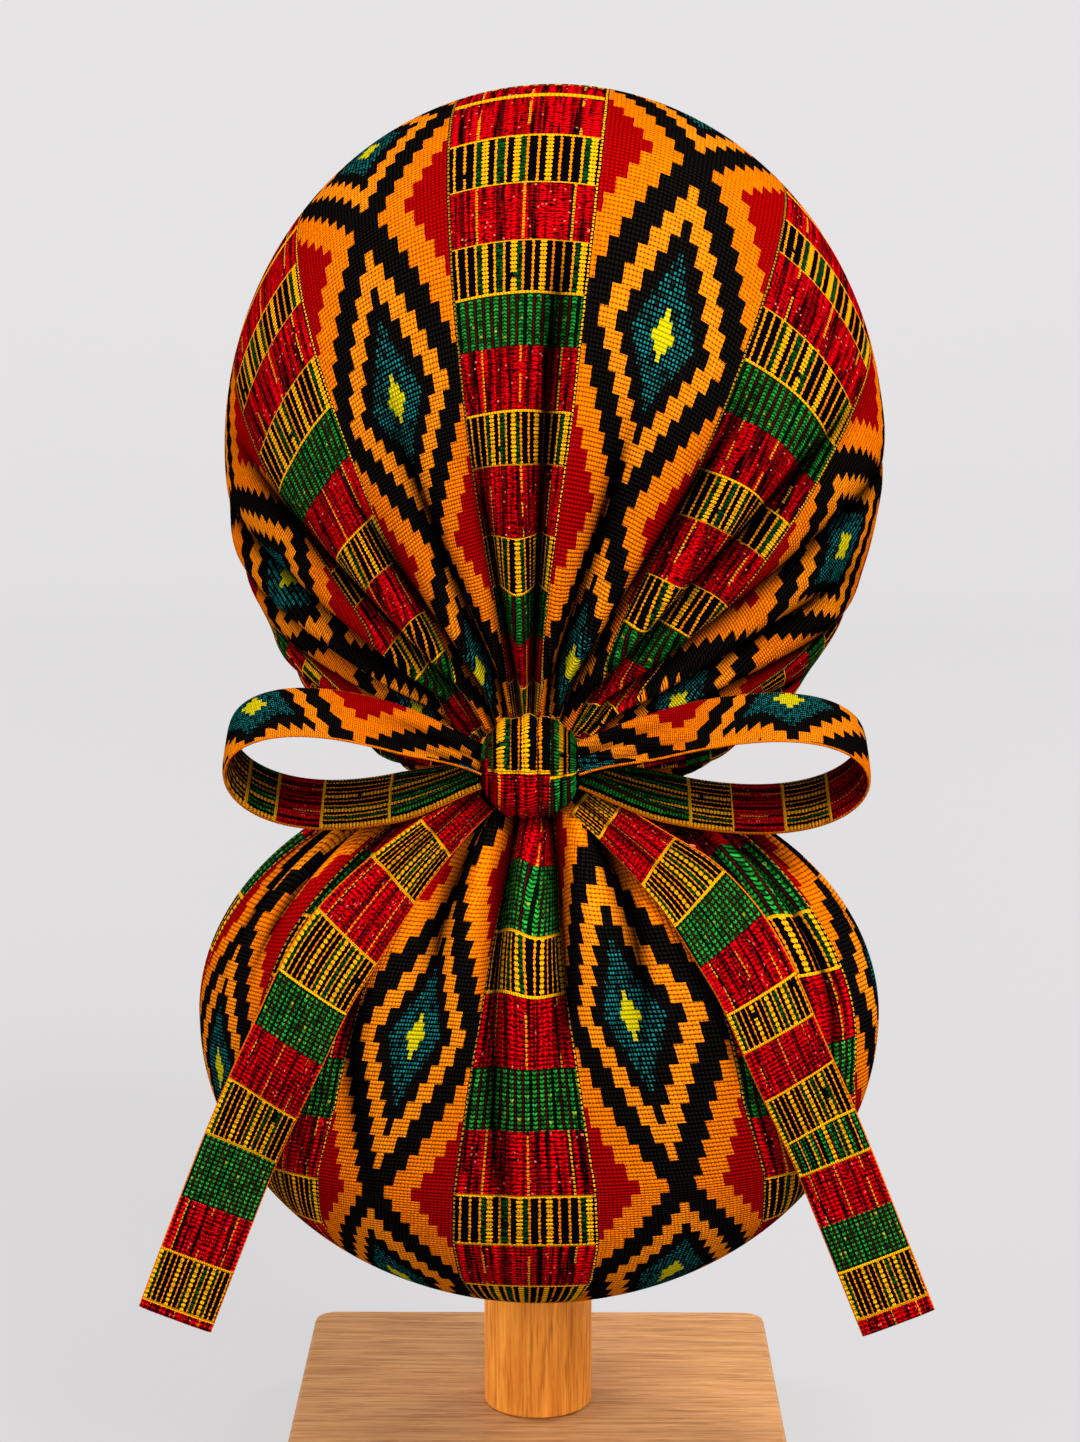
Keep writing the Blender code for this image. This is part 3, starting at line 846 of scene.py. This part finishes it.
def crown_print_place(x, points):
    """Print coordinates on the crown's form: across, and along for both kinds of column."""
    units = (points - CROWN_CENTRE) / crown_sizes(points[..., 1])
    away = units - PRINT_MIDDLE
    turn = np.degrees(np.arctan2(away @ PRINT_SIDE, away @ PRINT_UP))
    side = x[:, None] + 0 * turn
    turn = on_own_side(turn, side, 0.25, 60)
    tilt = np.degrees(np.arccos(np.clip(-(unit(away) @ PRINT_AXIS), -1, 1)))
    columns = sorted(COLUMN_TURNS)
    turns = [COLUMN_TURNS[column] for column in columns]
    k = np.interp(turn, turns, columns)
    leaving = line_turn(x)
    nape_turn = np.degrees(np.unwrap(np.arctan2(1.3 * np.sin(leaving), np.cos(leaving))))
    nape_turn -= nape_turn[len(x) // 2]
    nape_k = np.interp(nape_turn, turns, columns)
    nape = smooth((np.abs(side) - 0.45) / 0.4)
    k = k * (1 - nape) + nape_k[:, None] * nape
    bearing = np.degrees(np.arctan2(units[..., 0], units[..., 1]))
    bearing = on_own_side(bearing, side, 0.4, 0)
    front = smooth((tilt - 115) / 45) * (1 - nape)
    k = k * (1 - front) + bearing / BROW_COLUMN_TURN * front
    # The tables hold at the rear. Over the brow and at the nape the print runs on by the cloth's length
    lengths = step_lengths(points, 1) / MM
    free = np.maximum(smooth((tilt - 100) / 45), nape)
    free = (free[:, 1:] + free[:, :-1]) / 2
    maps = []
    for kinds in (range(-6, 7, 2), range(-5, 6, 2)):
        rows = rows_by_column(k, tilt, kinds)
        start = rows[:, :1] * (1 - nape[:, :1]) + NAPE_START * nape[:, :1]
        along = np.cumsum(np.diff(rows, axis=1) * (1 - free) + lengths * free, axis=1)
        maps.append(np.concatenate([start, start + along], 1))
    return k * HALF_REPEAT, maps[0], maps[1]


def hem_casing(x, points, painted_shade):
    """The hem turned under and stitched down, slightly drawn in. Returns the grid and its painted shade,
    now also dark along the stitched groove and in the puckers' valleys.
    """
    steps = step_lengths(points, 1) / MM
    to_edge = np.cumsum(steps[:, ::-1], axis=1)[:, ::-1]
    to_edge = np.concatenate([to_edge, 0 * to_edge[:, :1]], 1)
    inside = smooth((HEM_WIDTH - to_edge) / 2.0)
    stitched = np.exp(-(((to_edge - HEM_WIDTH - 1) / 1.4) ** 2))
    pucker = wander(line_bearing(x), 71, (61, 73, 88, 97), 1.0)[:, None] * smooth(1 - to_edge / 26)
    moved = 0.0005 * inside - 0.0007 * stitched + 0.0006 * pucker
    # Painted shade along the stitched groove and in the puckers' valleys
    painted_shade = np.maximum(painted_shade, np.clip(0.55 * stitched - 0.25 * pucker, 0, 1))
    return points + normals(points) * moved[..., None], painted_shade


def make_crown():
    x, form = crown_form(336, 24, 88)
    turn = line_turn(x)
    points, painted_shade, *folds = gather(
        form, turn, folds=34, seed=11, reach=0.150, least=0.0012, most=0.0046, front_share=0.45
    )
    across, *rows = crown_print_place(x, form)
    gathered = (*hem_casing(x, points, painted_shade), *folds)
    crown = printed_cloth("crown_cap", crown_print, gathered, turn, across, rows, 47)
    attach(crown, "root")
    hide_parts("crown")
    return crown


crown = make_crown()

# Pouch

POUCH_COLUMN_WIDTHS = [  # height, half width of a half repeat there, in metres
    (0.095, 0.022), (0.103, 0.036), (0.115, 0.046), (0.130, 0.050), (0.150, 0.048), (0.175, 0.040),
    (0.199, 0.0325), (0.230, 0.0226), (0.250, 0.0165), (0.272, 0.0098),
]
POUCH_BLOCK_HEIGHTS = listed(
    "R0.2795 G0.248 S0.2297 R0.2128 G0.1911 R0.1708 S0.1489 R0.1304 S0.1129 G0.101"
)
POUCH_DIAMONDS = {  # height of the crossings and middles beside the middle column
    -1: [(0.243, -58), (0.199, 0), (0.147, 58), (0.112, 116)],
    1: [(0.252, -58), (0.2055, 0), (0.1502, 58), (0.1158, 116)],
}
POUCH_FAR_LEFT_DROP = 20
POUCH_LOW = 0.175
POUCH_SIDE_COLUMNS = (3.75, 2.95)
POUCH_PRINT_SHIFT = 0.0040


def pouch_round(turn):
    """Arc round the widest ring from the middle of the rear, back to 0 in front, and its most."""
    fine = np.linspace(0, math.pi, 721)
    speed = np.hypot(
        POUCH_HALF_WIDTH * np.cos(fine),
        np.where(fine < math.pi / 2, POUCH_REAR_DEPTH, POUCH_FRONT_DEPTH) * np.sin(fine),
    )
    arc = np.concatenate([[0], np.cumsum((speed[1:] + speed[:-1]) / 2 * np.diff(fine))])
    quarter = arc[len(arc) // 2]
    folded = np.where(arc > quarter, (arc[-1] - arc) * quarter / (arc[-1] - quarter), arc)
    return np.sign(turn) * np.interp(np.abs(turn), fine, folded), quarter


def pouch_columns(turn, heights, neck_rows, body_rows):
    """Each point's place across the print, in half repeats from the middle column."""
    arc, quarter = pouch_round(turn)
    widest = np.concatenate([
        np.linspace(NECK_RADIUS, POUCH_HALF_WIDTH * math.sin(POUCH_SHOULDER), neck_rows + 1)[:-1],
        POUCH_HALF_WIDTH * np.sin(np.linspace(POUCH_SHOULDER, math.pi, body_rows + 1)),
    ])
    offset = arc[:, None] * widest[None] / POUCH_HALF_WIDTH
    table = np.array(POUCH_COLUMN_WIDTHS)
    width = np.interp(heights, table[:, 0], table[:, 1])[None]
    behind = np.cos(turn)[:, None].clip(0, 1)
    offset = offset + POUCH_PRINT_SHIFT * behind * smooth((0.27 - heights) / 0.05)[None]
    room = quarter * widest / POUCH_HALF_WIDTH - width[0]
    low = heights < POUCH_LOW
    room[low] = room[~low][-1]
    most = np.where(offset < 0, *POUCH_SIDE_COLUMNS)
    beyond = np.maximum(np.abs(offset) - width, 0) / room[None] * (most - 1)
    return np.sign(offset) * (np.minimum(np.abs(offset) / width, 1) + beyond)


def pouch_rows(k, run, run_at):
    """Each point's place along the diamond columns, in millimetres of cloth."""
    rows = []
    for side, lower in ((-1, POUCH_FAR_LEFT_DROP), (-1, 0), (1, 0)):
        marks = sorted((run_at(height) + lower, place) for height, place in POUCH_DIAMONDS[side])
        at, to = zip(*marks)
        at = (at[0] - HALF_REPEAT, *at, at[-1] + HALF_REPEAT)
        to = (to[0] - HALF_REPEAT, *to, to[-1] + HALF_REPEAT)
        rows.append(np.interp(run, at, to))
    far_left = smooth(-(k + 1.6) / 0.8)
    right = smooth(k + 0.5)
    left_rows = rows[0] * far_left + rows[1] * (1 - far_left)
    return left_rows * (1 - right) + rows[2] * right


def make_pouch():
    columns, neck_rows, body_rows = 300, 24, 84
    turn, form = pouch_form(columns, neck_rows, body_rows)
    middle = form[columns // 2]
    run = run_along(middle)
    falling = np.maximum.accumulate(-middle[:, 2] + 1e-7 * np.arange(len(middle)))

    def run_at(height):
        return float(np.interp(-height, falling, run))

    blocks = [(run_at(height), kind) for height, kind in POUCH_BLOCK_HEIGHTS]
    finish = print_material("pouch_print", blocks, run[-1] + 4)
    k = pouch_columns(turn, middle[:, 2], neck_rows, body_rows)
    gathered = gather(
        form, turn, folds=28, seed=31, reach=0.125, least=0.0010, most=0.0044, front_share=0.5
    )
    rows = (run[None] + 0 * k, pouch_rows(k, run, run_at))
    pouch = printed_cloth("hanging_pouch", finish, gathered, turn, k * HALF_REPEAT, rows, 53)
    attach(pouch, "root")
    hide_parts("pouch")
    return pouch


pouch = make_pouch()

# Ties: flat folded tubes with soft edges

KNOT_CENTRE = np.array([
    NECK_CENTRE[0],
    NECK_CENTRE[1] - BAND_RADIUS * math.cos(NECK_TILT) - BAND_THICKNESS - GAP - KNOT_HALF_SIZE[1],
    KNOT_HEIGHT,
])
# start is where the outer print begins, and drift how far it slips sideways by the length so far
LOOPS = {
    "loop_left": {
        "side": -1, "reach": 0.0915, "lift": 0.0030, "start": -8.0,
        "drift": ([0, 44, 64, 78, 100, 120], [22, 16, -4, -7, 0, 4]),
        "inner": listed("X0 S42 R63 X77 S86"),
    },
    "loop_right": {
        "side": 1, "reach": 0.1015, "lift": 0.0005, "start": 4.0,
        "drift": ([0, 36, 58, 75, 100, 120], [8, 17, -8, -8, -4, 0]),
        "inner": listed("X0 S48 R61 S77 R91"),
    },
}
LOOP_PRINT_RATE = 1.72
LOOP_INNER_TOTAL = 110.0
LOOP_PINCH = 0.62
LOOP_PINCH_REACH = 0.026
LOOP_PLEAT_REACH = 0.040
LOOP_STATIONS = 121
TAILS = {  # x, z and y of points along the middle of each tail
    "tail_left": [
        (-0.0165, 0.2665, -0.1215), (-0.0406, 0.2452, -0.1275), (-0.0613, 0.2193, -0.125),
        (-0.0740, 0.1940, -0.125), (-0.0906, 0.1565, -0.124), (-0.1122, 0.1006, -0.120),
    ],
    "tail_right": [
        (0.0140, 0.2660, -0.1215), (0.0346, 0.2508, -0.1275), (0.0495, 0.2375, -0.125),
        (0.0643, 0.2165, -0.125), (0.0768, 0.1883, -0.125), (0.0902, 0.1572, -0.125),
        (0.1127, 0.1007, -0.122),
    ],
}
TAIL_BLOCKS = {
    "tail_left": listed("R0 S17 R34 S56 G74.9 R93.6 S114.2 G132.5 R154.6 S173.4 R190.9"),
    "tail_right": listed("S0 R10 S28.4 G44.9 R59.9 S78.1 R92 S109.4 X126.2 R139.8 G158.1 S174 R190.8"),
}
TAIL_PLEAT_REACH = 0.060
TAIL_STATIONS = 141
TIE_THICKNESS = 0.0020
TIE_CORNERS = 30
TIE_EDGE = 0.955
TIE_PRINT_HALF = 12
TAIL_PRINT_HALF = 25.0
# Pleat depth at which the painted shade in a tie's pleats is full
PLEAT_SHADE_FULL = 0.0012

tie_print = print_material("tie_print", CROWN_BLOCKS, tie=True, fine=1.4)


def tie_profile():
    """The tie's rounded section: the place across it, from -1 to 1, and its rise, from -1 to 1."""
    angle = np.linspace(0, 2 * math.pi, TIE_CORNERS + 1)
    flat = np.sign(np.cos(angle)) * np.abs(np.cos(angle)) ** 0.55
    rise = np.sign(np.sin(angle)) * np.abs(np.sin(angle)) ** 0.8
    return flat, rise


def tie_fields(flat, painted_shade):
    return {"edge": (np.abs(flat)[None] > TIE_EDGE) * np.ones((len(painted_shade), 1)), "painted_shade": painted_shade}


def make_loop(name, side, reach, lift, start, drift, inner):
    """One loop of the bow. Returns it and the length of its tie in metres."""
    across = np.array([0.0, math.cos(LOOP_SLOPE), math.sin(LOOP_SLOPE)])
    above = np.array([0.0, -math.sin(LOOP_SLOPE), math.cos(LOOP_SLOPE)])
    root = KNOT_HALF_SIZE[0] + ROOT_GAP
    angle = 2 * math.pi * np.linspace(0, 1, LOOP_STATIONS)
    out = (1 - np.cos(angle)) / 2
    bow = LOOP_HALF_HEIGHT / LOOP_FULLEST * np.sin(angle) * np.sin(angle / 2)
    bow = bow + LOOP_ROOT_RISE * np.cos(angle / 2)
    distance = root + (reach - root) * out
    middle = KNOT_CENTRE + np.stack([side * distance, LOOP_SWEEP * out**2, 0 * out], -1)
    middle = middle + above * (bow + lift * out)[:, None]
    face = unit(np.cross(unit(np.gradient(middle, axis=0)), across)) * side
    width = TIE_WIDTH * (LOOP_PINCH + (1 - LOOP_PINCH) * smooth((distance - root) / LOOP_PINCH_REACH))

    flat, rise = tie_profile()
    near_root = (1 - smooth((distance - root) / LOOP_PLEAT_REACH))[:, None]
    pleats = np.cos(flat * 7.3 + 0.8) * 0.0020 + np.cos(flat * 12.1 + 2.0 + side) * 0.0008
    pleats = pleats * near_root * (1 - 0.6 * np.abs(flat) ** 6)
    points = (
        middle[:, None]
        + across * (flat * (width / 2)[:, None])[..., None]
        + face[:, None] * (rise * TIE_THICKNESS / 2 + pleats)[..., None]
    )
    length = run_along(middle)
    u = HALF_REPEAT - np.interp(length, *drift)[:, None] - TIE_PRINT_HALF * flat
    outer = (u, (start + LOOP_PRINT_RATE * length)[:, None] + 0 * u)
    inside = (flat * TIE_PRINT_HALF + 3 + 0 * u, distance[:, None] / MM + 0 * u)
    # The loop's inner face is darkened to 0.42 of its print as painted shade
    finish = print_material(f"{name}_inner", inner, LOOP_INNER_TOTAL, "inner", 1.6, tie=True, inside_shade=0.42)
    piece = grid_object(
        f"bow_{name}",
        points,
        {"cloth_a": outer, "cloth_b": outer, "inner": inside},
        # Painted shade in the pleats' valleys on the outer face
        tie_fields(flat, np.clip(-pleats / PLEAT_SHADE_FULL, 0, 1) * (rise > 0) * 0.7),
        [tie_print, finish],
        slots=np.where(rise[1:] + rise[:-1] > 0, 0, 1) * np.ones((len(middle) - 1, 1)),
        closed=True,
    )
    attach(piece, "root")
    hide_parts(name)
    return piece, length[-1] * MM


def through(rows, s):
    """Smooth curve through the rows of a table, with s from 0 to 1, evenly by row."""
    last = len(rows) - 1
    place = s * last
    index = np.minimum(place.astype(int), last - 1)
    part = (place - index)[:, None]
    before = rows[np.maximum(index - 1, 0)]
    after = rows[np.minimum(index + 2, last)]
    start = rows[index]
    end = rows[index + 1]
    return hermite(start, (end - before) / 2, end, (after - start) / 2, part)


def make_tail(name, table):
    """One end of the tie, laid on the pouch where they meet. Returns it and its length in metres."""
    rows = np.array(table)
    a = np.linspace(0, 1, TAIL_STATIONS)
    middle = through(rows, a)
    ahead = through(rows, np.minimum(a + 0.001, 1)) - through(rows, np.maximum(a - 0.001, 0))
    across = unit(np.stack([ahead[:, 1], -ahead[:, 0]], -1))
    distance = np.hypot(middle[:, 0] - rows[0, 0], middle[:, 1] - rows[0, 1])
    width = TIE_WIDTH * (PINCH + (1 - PINCH) * smooth(distance / TAIL_PINCH_LENGTH))
    flat, rise = tie_profile()
    x = middle[:, :1] + across[:, :1] * width[:, None] / 2 * flat
    z = middle[:, 1:2] + across[:, 1:2] * width[:, None] / 2 * flat
    lying = pouch_rear(x, z) - TAIL_LIFT
    free = middle[:, 2:3]
    deeper = 0.5 * (lying + free - np.hypot(lying - free, TAIL_BLEND))
    near_root = (1 - smooth(distance / TAIL_PLEAT_REACH))[:, None]
    pleats = (np.cos(flat * 6.5 + 1.1) * 0.0013 + np.cos(flat * 11.0) * 0.0005) * near_root
    points = np.stack([x, deeper - rise * TIE_THICKNESS / 2 - pleats, z], -1)

    run = run_along(middle[:, :2])
    printed = (flat * TAIL_PRINT_HALF + 0 * x, run[:, None] + 0 * x)
    finish = print_material(f"{name}_print", TAIL_BLOCKS[name], run[-1] + 4, "cloth_a", tie=True)
    # Painted shade in the pleats' valleys
    fields = tie_fields(flat, np.clip(-pleats / PLEAT_SHADE_FULL, 0, 1) * 0.7)
    piece = grid_object(f"bow_{name}", points, {"cloth_a": printed}, fields, [finish], closed=True)
    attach(piece, "root")
    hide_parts(name)
    return piece, float(np.sum(step_lengths(points[:, 0])))


loops = [make_loop(name, **facts) for name, facts in LOOPS.items()]
tails = [make_tail(name, table) for name, table in TAILS.items()]

# Strips of the knot from left to right: where each starts and ends, its rows, and its print's place
KNOT_STRIPS = [(-1, -0.66, 10, 160), (-0.66, 0.28, 34, 0), (0.28, 1, 22, 80)]
KNOT_BLOCKS = listed("S0 R18.5 G44 S60 X80 G100 S124 G160 R174 G200")
KNOT_BLOCKS_TOTAL = 240.0
KNOT_RIGHT_PRINT = 80
KNOT_CLOTH = 0.0015
KNOT_LEAST_END = 0.30


def make_knot():
    """The tie wrapped over the middle of the bow: a barrel of cloth, open at both sides."""
    theta = np.linspace(0, 2 * math.pi, 97)[:, None]
    place = np.concatenate([np.linspace(start, end, rows) for start, end, rows, _ in KNOT_STRIPS])
    printed = np.concatenate([np.full(rows, strip) for _, _, rows, strip in KNOT_STRIPS])
    x = np.sin(place * math.pi / 2)
    reach = np.maximum((1 - np.abs(x * 0.985) ** 2.6) ** (1 / 2.6), KNOT_LEAST_END)
    ring = (np.abs(np.cos(theta)) ** 2.3 + np.abs(np.sin(theta)) ** 2.3) ** (-1 / 2.3)
    pleat = 1 + 0.040 * np.cos(x * 13 + 0.6) + 0.03 * np.cos(x * 21) * np.sin(theta + 1)
    radius = ring * reach * pleat
    half = KNOT_HALF_SIZE
    y = -half[1] * 0.98 * np.sin(theta) * radius
    z = half[2] * 0.98 * np.cos(theta) * radius
    points = KNOT_CENTRE + np.stack([0.94 * half[0] * x + 0 * y, y, z], -1)
    # Painted shade in the pleats' valleys. The right strip is also darker over its top and its rear face
    low = np.clip((1 - pleat) / 0.05, 0, 1) * 0.9
    low = np.maximum(low, 0.55 * (printed == KNOT_RIGHT_PRINT) * smooth((1.8 - theta) / 0.4))
    cloth = (x * 13.5 + 7.0 + 0 * y, theta * 12.5 + printed)
    finish = print_material("knot_print", KNOT_BLOCKS, KNOT_BLOCKS_TOTAL, "cloth_a", 1.5)
    knot = grid_object("bow_knot", points, {"cloth_a": cloth}, {"painted_shade": low}, [finish], flip=True)
    wall(knot, KNOT_CLOTH, 0)
    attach(knot, "root")
    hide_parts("knot")
    return knot


knot = make_knot()

BAND_FOLDS = 3
BAND_TWISTS = 9


def make_band():
    """The tie's turns round the neck, in the groove between the crown and the pouch."""
    theta = np.linspace(0, 2 * math.pi, 145)
    phi = np.linspace(0, 2 * math.pi, 25)
    twist = BAND_FOLDS * phi + BAND_TWISTS * theta[:, None]
    minor = BAND_THICKNESS * (1.12 + 0.10 * np.cos(twist))
    out = BAND_RADIUS + minor * np.cos(phi)
    along_neck = 1.7 * minor * np.sin(phi)
    points = NECK_CENTRE + neck_way(theta)[:, None] * out[..., None] + NECK_AXIS * along_neck[..., None]
    cloth = (phi[None] * 4 + 0 * out, theta[:, None] * BAND_RADIUS / MM + 0 * out)
    band = grid_object(
        "tie_turns", points, {"cloth_a": cloth, "cloth_b": cloth},
        {"painted_shade": 0 * out, "edge": 0 * out}, [tie_print],
    )
    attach(band, "root")
    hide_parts("tie_band")
    return band


band = make_band()

# Stand


def wood_material(name, light, dark, along, scale):
    """Wood with grain, pores and wide bands of tone. along stretches them on the axis of its length."""
    f = Finish(name)
    grain = f.noise(f.stretched(along), scale, 6.0, 0.68)
    pores = f.noise(f.stretched([max(share, 0.06) for share in along]), scale * 2.6, 1.0, 0.5)
    wide = f.noise(f.stretched(along), scale * 0.3, 2.0, 0.5)
    colour = f.ramp(grain, [(0.34, dark), (0.62, light)], "LINEAR")
    colour = f.shade(f.rise(0.88, 0.24, wide), colour)
    in_pore = f.ramp(pores, [(0.56, grey(0)), (0.70, grey(0.6))], "LINEAR")
    colour = f.mix(in_pore, colour, f.shade(0.6, dark))
    f.bump(f.rise(grain, -0.6, pores), GRAIN_DEPTH, 0.5)
    return f.finish(colour, f.rise(0.50, 0.16, pores), gloss=0.12)


GRAIN_DEPTH = 0.00025
post_wood = wood_material("post_oak", rgb(250, 164, 62), rgb(208, 116, 30), (1, 1, 0.05), 400)
base_wood = wood_material("base_oak", rgb(194, 142, 90), rgb(158, 104, 60), (0.05, 1, 0.3), 480)
FOOT_BEVEL = 0.0006


def make_post():
    """The post as in the CAD model, with finer turning and a narrow bevel at its foot."""
    inner_top = CROWN_HALF_HEIGHT - CAD_CLOTH - HEAD_GAP

    def dome(radius):
        share = (radius + abs(CROWN_CENTRE[0])) / (CROWN_HALF_WIDTH - CAD_CLOTH)
        return CROWN_CENTRE[2] + inner_top * math.sqrt(1 - share**2)

    rim = dome(POST_HEAD_RADIUS)
    profile = [(POST_HEAD_RADIUS * step / 12, dome(POST_HEAD_RADIUS * step / 12)) for step in range(13)]
    profile.append((POST_HEAD_RADIUS, rim - POST_HEAD_RIM))
    for step in range(1, 13):
        angle = math.pi / 2 * step / 12
        flare = (POST_HEAD_RADIUS - POST_RADIUS) * (1 - math.sin(angle))
        drop = POST_FLARE_HEIGHT * (1 - math.cos(angle))
        profile.append((POST_RADIUS + flare, rim - POST_HEAD_RIM - drop))
    foot = BASE_HEIGHT + GAP
    profile += [(POST_RADIUS, foot + FOOT_BEVEL), (POST_RADIUS - FOOT_BEVEL, foot), (0.0, foot)]
    post = grid_object("turned_post", turned(profile), {}, {}, [post_wood], closed=True)
    post.data.set_sharp_from_angle(angle=math.radians(40))
    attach(post, "root")
    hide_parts("stand_post")


make_post()
base = bpy.data.objects["stand_base"]
base.data.materials.clear()
base.data.materials.append(base_wood)

# Floor, light and camera

FLOOR_RADIUS = 2.4
FLOOR_BEND = 1.2
WALL_TOP = 3.2
FLOOR_GLOW = 0.604
FLOOR_GLOW_RISE = 0.046


def make_floor():
    """A pale floor that curves up into a wall all round, and glows a little more further out."""
    profile = [(0.0, 0.0), (1.0, 0.0), (FLOOR_RADIUS, 0.0)]
    for angle in np.linspace(0.1, math.pi / 2, 12):
        out = FLOOR_BEND * math.sin(angle)
        profile.append((FLOOR_RADIUS + out, FLOOR_BEND - FLOOR_BEND * math.cos(angle)))
    profile.append((FLOOR_RADIUS + FLOOR_BEND, WALL_TOP))
    f = Finish("studio_floor")
    x, y, height = f.apart(f.place())
    away = f.root(f.add(f.add(f.mul(x, x), f.mul(y, y)), f.mul(height, height)))
    f.feed(f.shader.inputs["Emission Color"], rgb(248, 246, 247))
    f.feed(f.shader.inputs["Emission Strength"], f.rise(FLOOR_GLOW, FLOOR_GLOW_RISE, away))
    finish = f.finish((0.10, 0.098, 0.099, 1), 0.9)
    floor = grid_object("studio_floor", turned(profile), {}, {}, [finish], flip=True)
    floor.visible_diffuse = False


make_floor()


def area_light(name, place, target, size, power):
    data = bpy.data.lights.new(name, "AREA")
    data.shape = "DISK"
    data.size = size
    data.energy = power
    light = bpy.data.objects.new(name, data)
    light.location = place
    light.rotation_euler = (Vector(target) - Vector(place)).to_track_quat("-Z", "Y").to_euler()
    bpy.context.scene.collection.objects.link(light)


area_light("key", (0.85, -1.45, 1.7), (0, 0, 0.28), 0.8, 60)
area_light("low", (0.6, -2.4, 1.0), (0, 0, 0.12), 1.0, 18)
area_light("fill", (-1.5, -1.3, 0.9), (0, 0, 0.25), 1.2, 19)
area_light("rim_left", (-1.6, 0.9, 1.4), (0, 0, 0.3), 1.0, 24)
area_light("rim_right", (1.6, 1.2, 1.4), (0, 0, 0.3), 1.0, 24)

world = bpy.data.worlds.new("studio")
world.use_nodes = True
background = world.node_tree.nodes["Background"]
background.inputs["Color"].default_value = (1, 1, 1, 1)
background.inputs["Strength"].default_value = 0.38
scene = bpy.context.scene
scene.world = world
scene.view_settings.view_transform = "Standard"

# The camera that was fitted to the photograph. Its focal length was found in pixels

FOCAL_PIXELS = 2855
PHOTO_HEIGHT_PIXELS = 1442
SENSOR = 36
CAMERA_PITCH = 9.2
CAMERA_TURN = 0.355

camera_data = bpy.data.cameras.new("photo_view")
camera_data.lens = FOCAL_PIXELS * SENSOR / PHOTO_HEIGHT_PIXELS
camera_data.sensor_width = SENSOR
camera = bpy.data.objects.new("photo_view", camera_data)
camera.location = (0.0067, -0.967, 0.4265)
camera.rotation_euler = (math.radians(90 - CAMERA_PITCH), 0, math.radians(CAMERA_TURN))
scene.collection.objects.link(camera)
scene.camera = camera
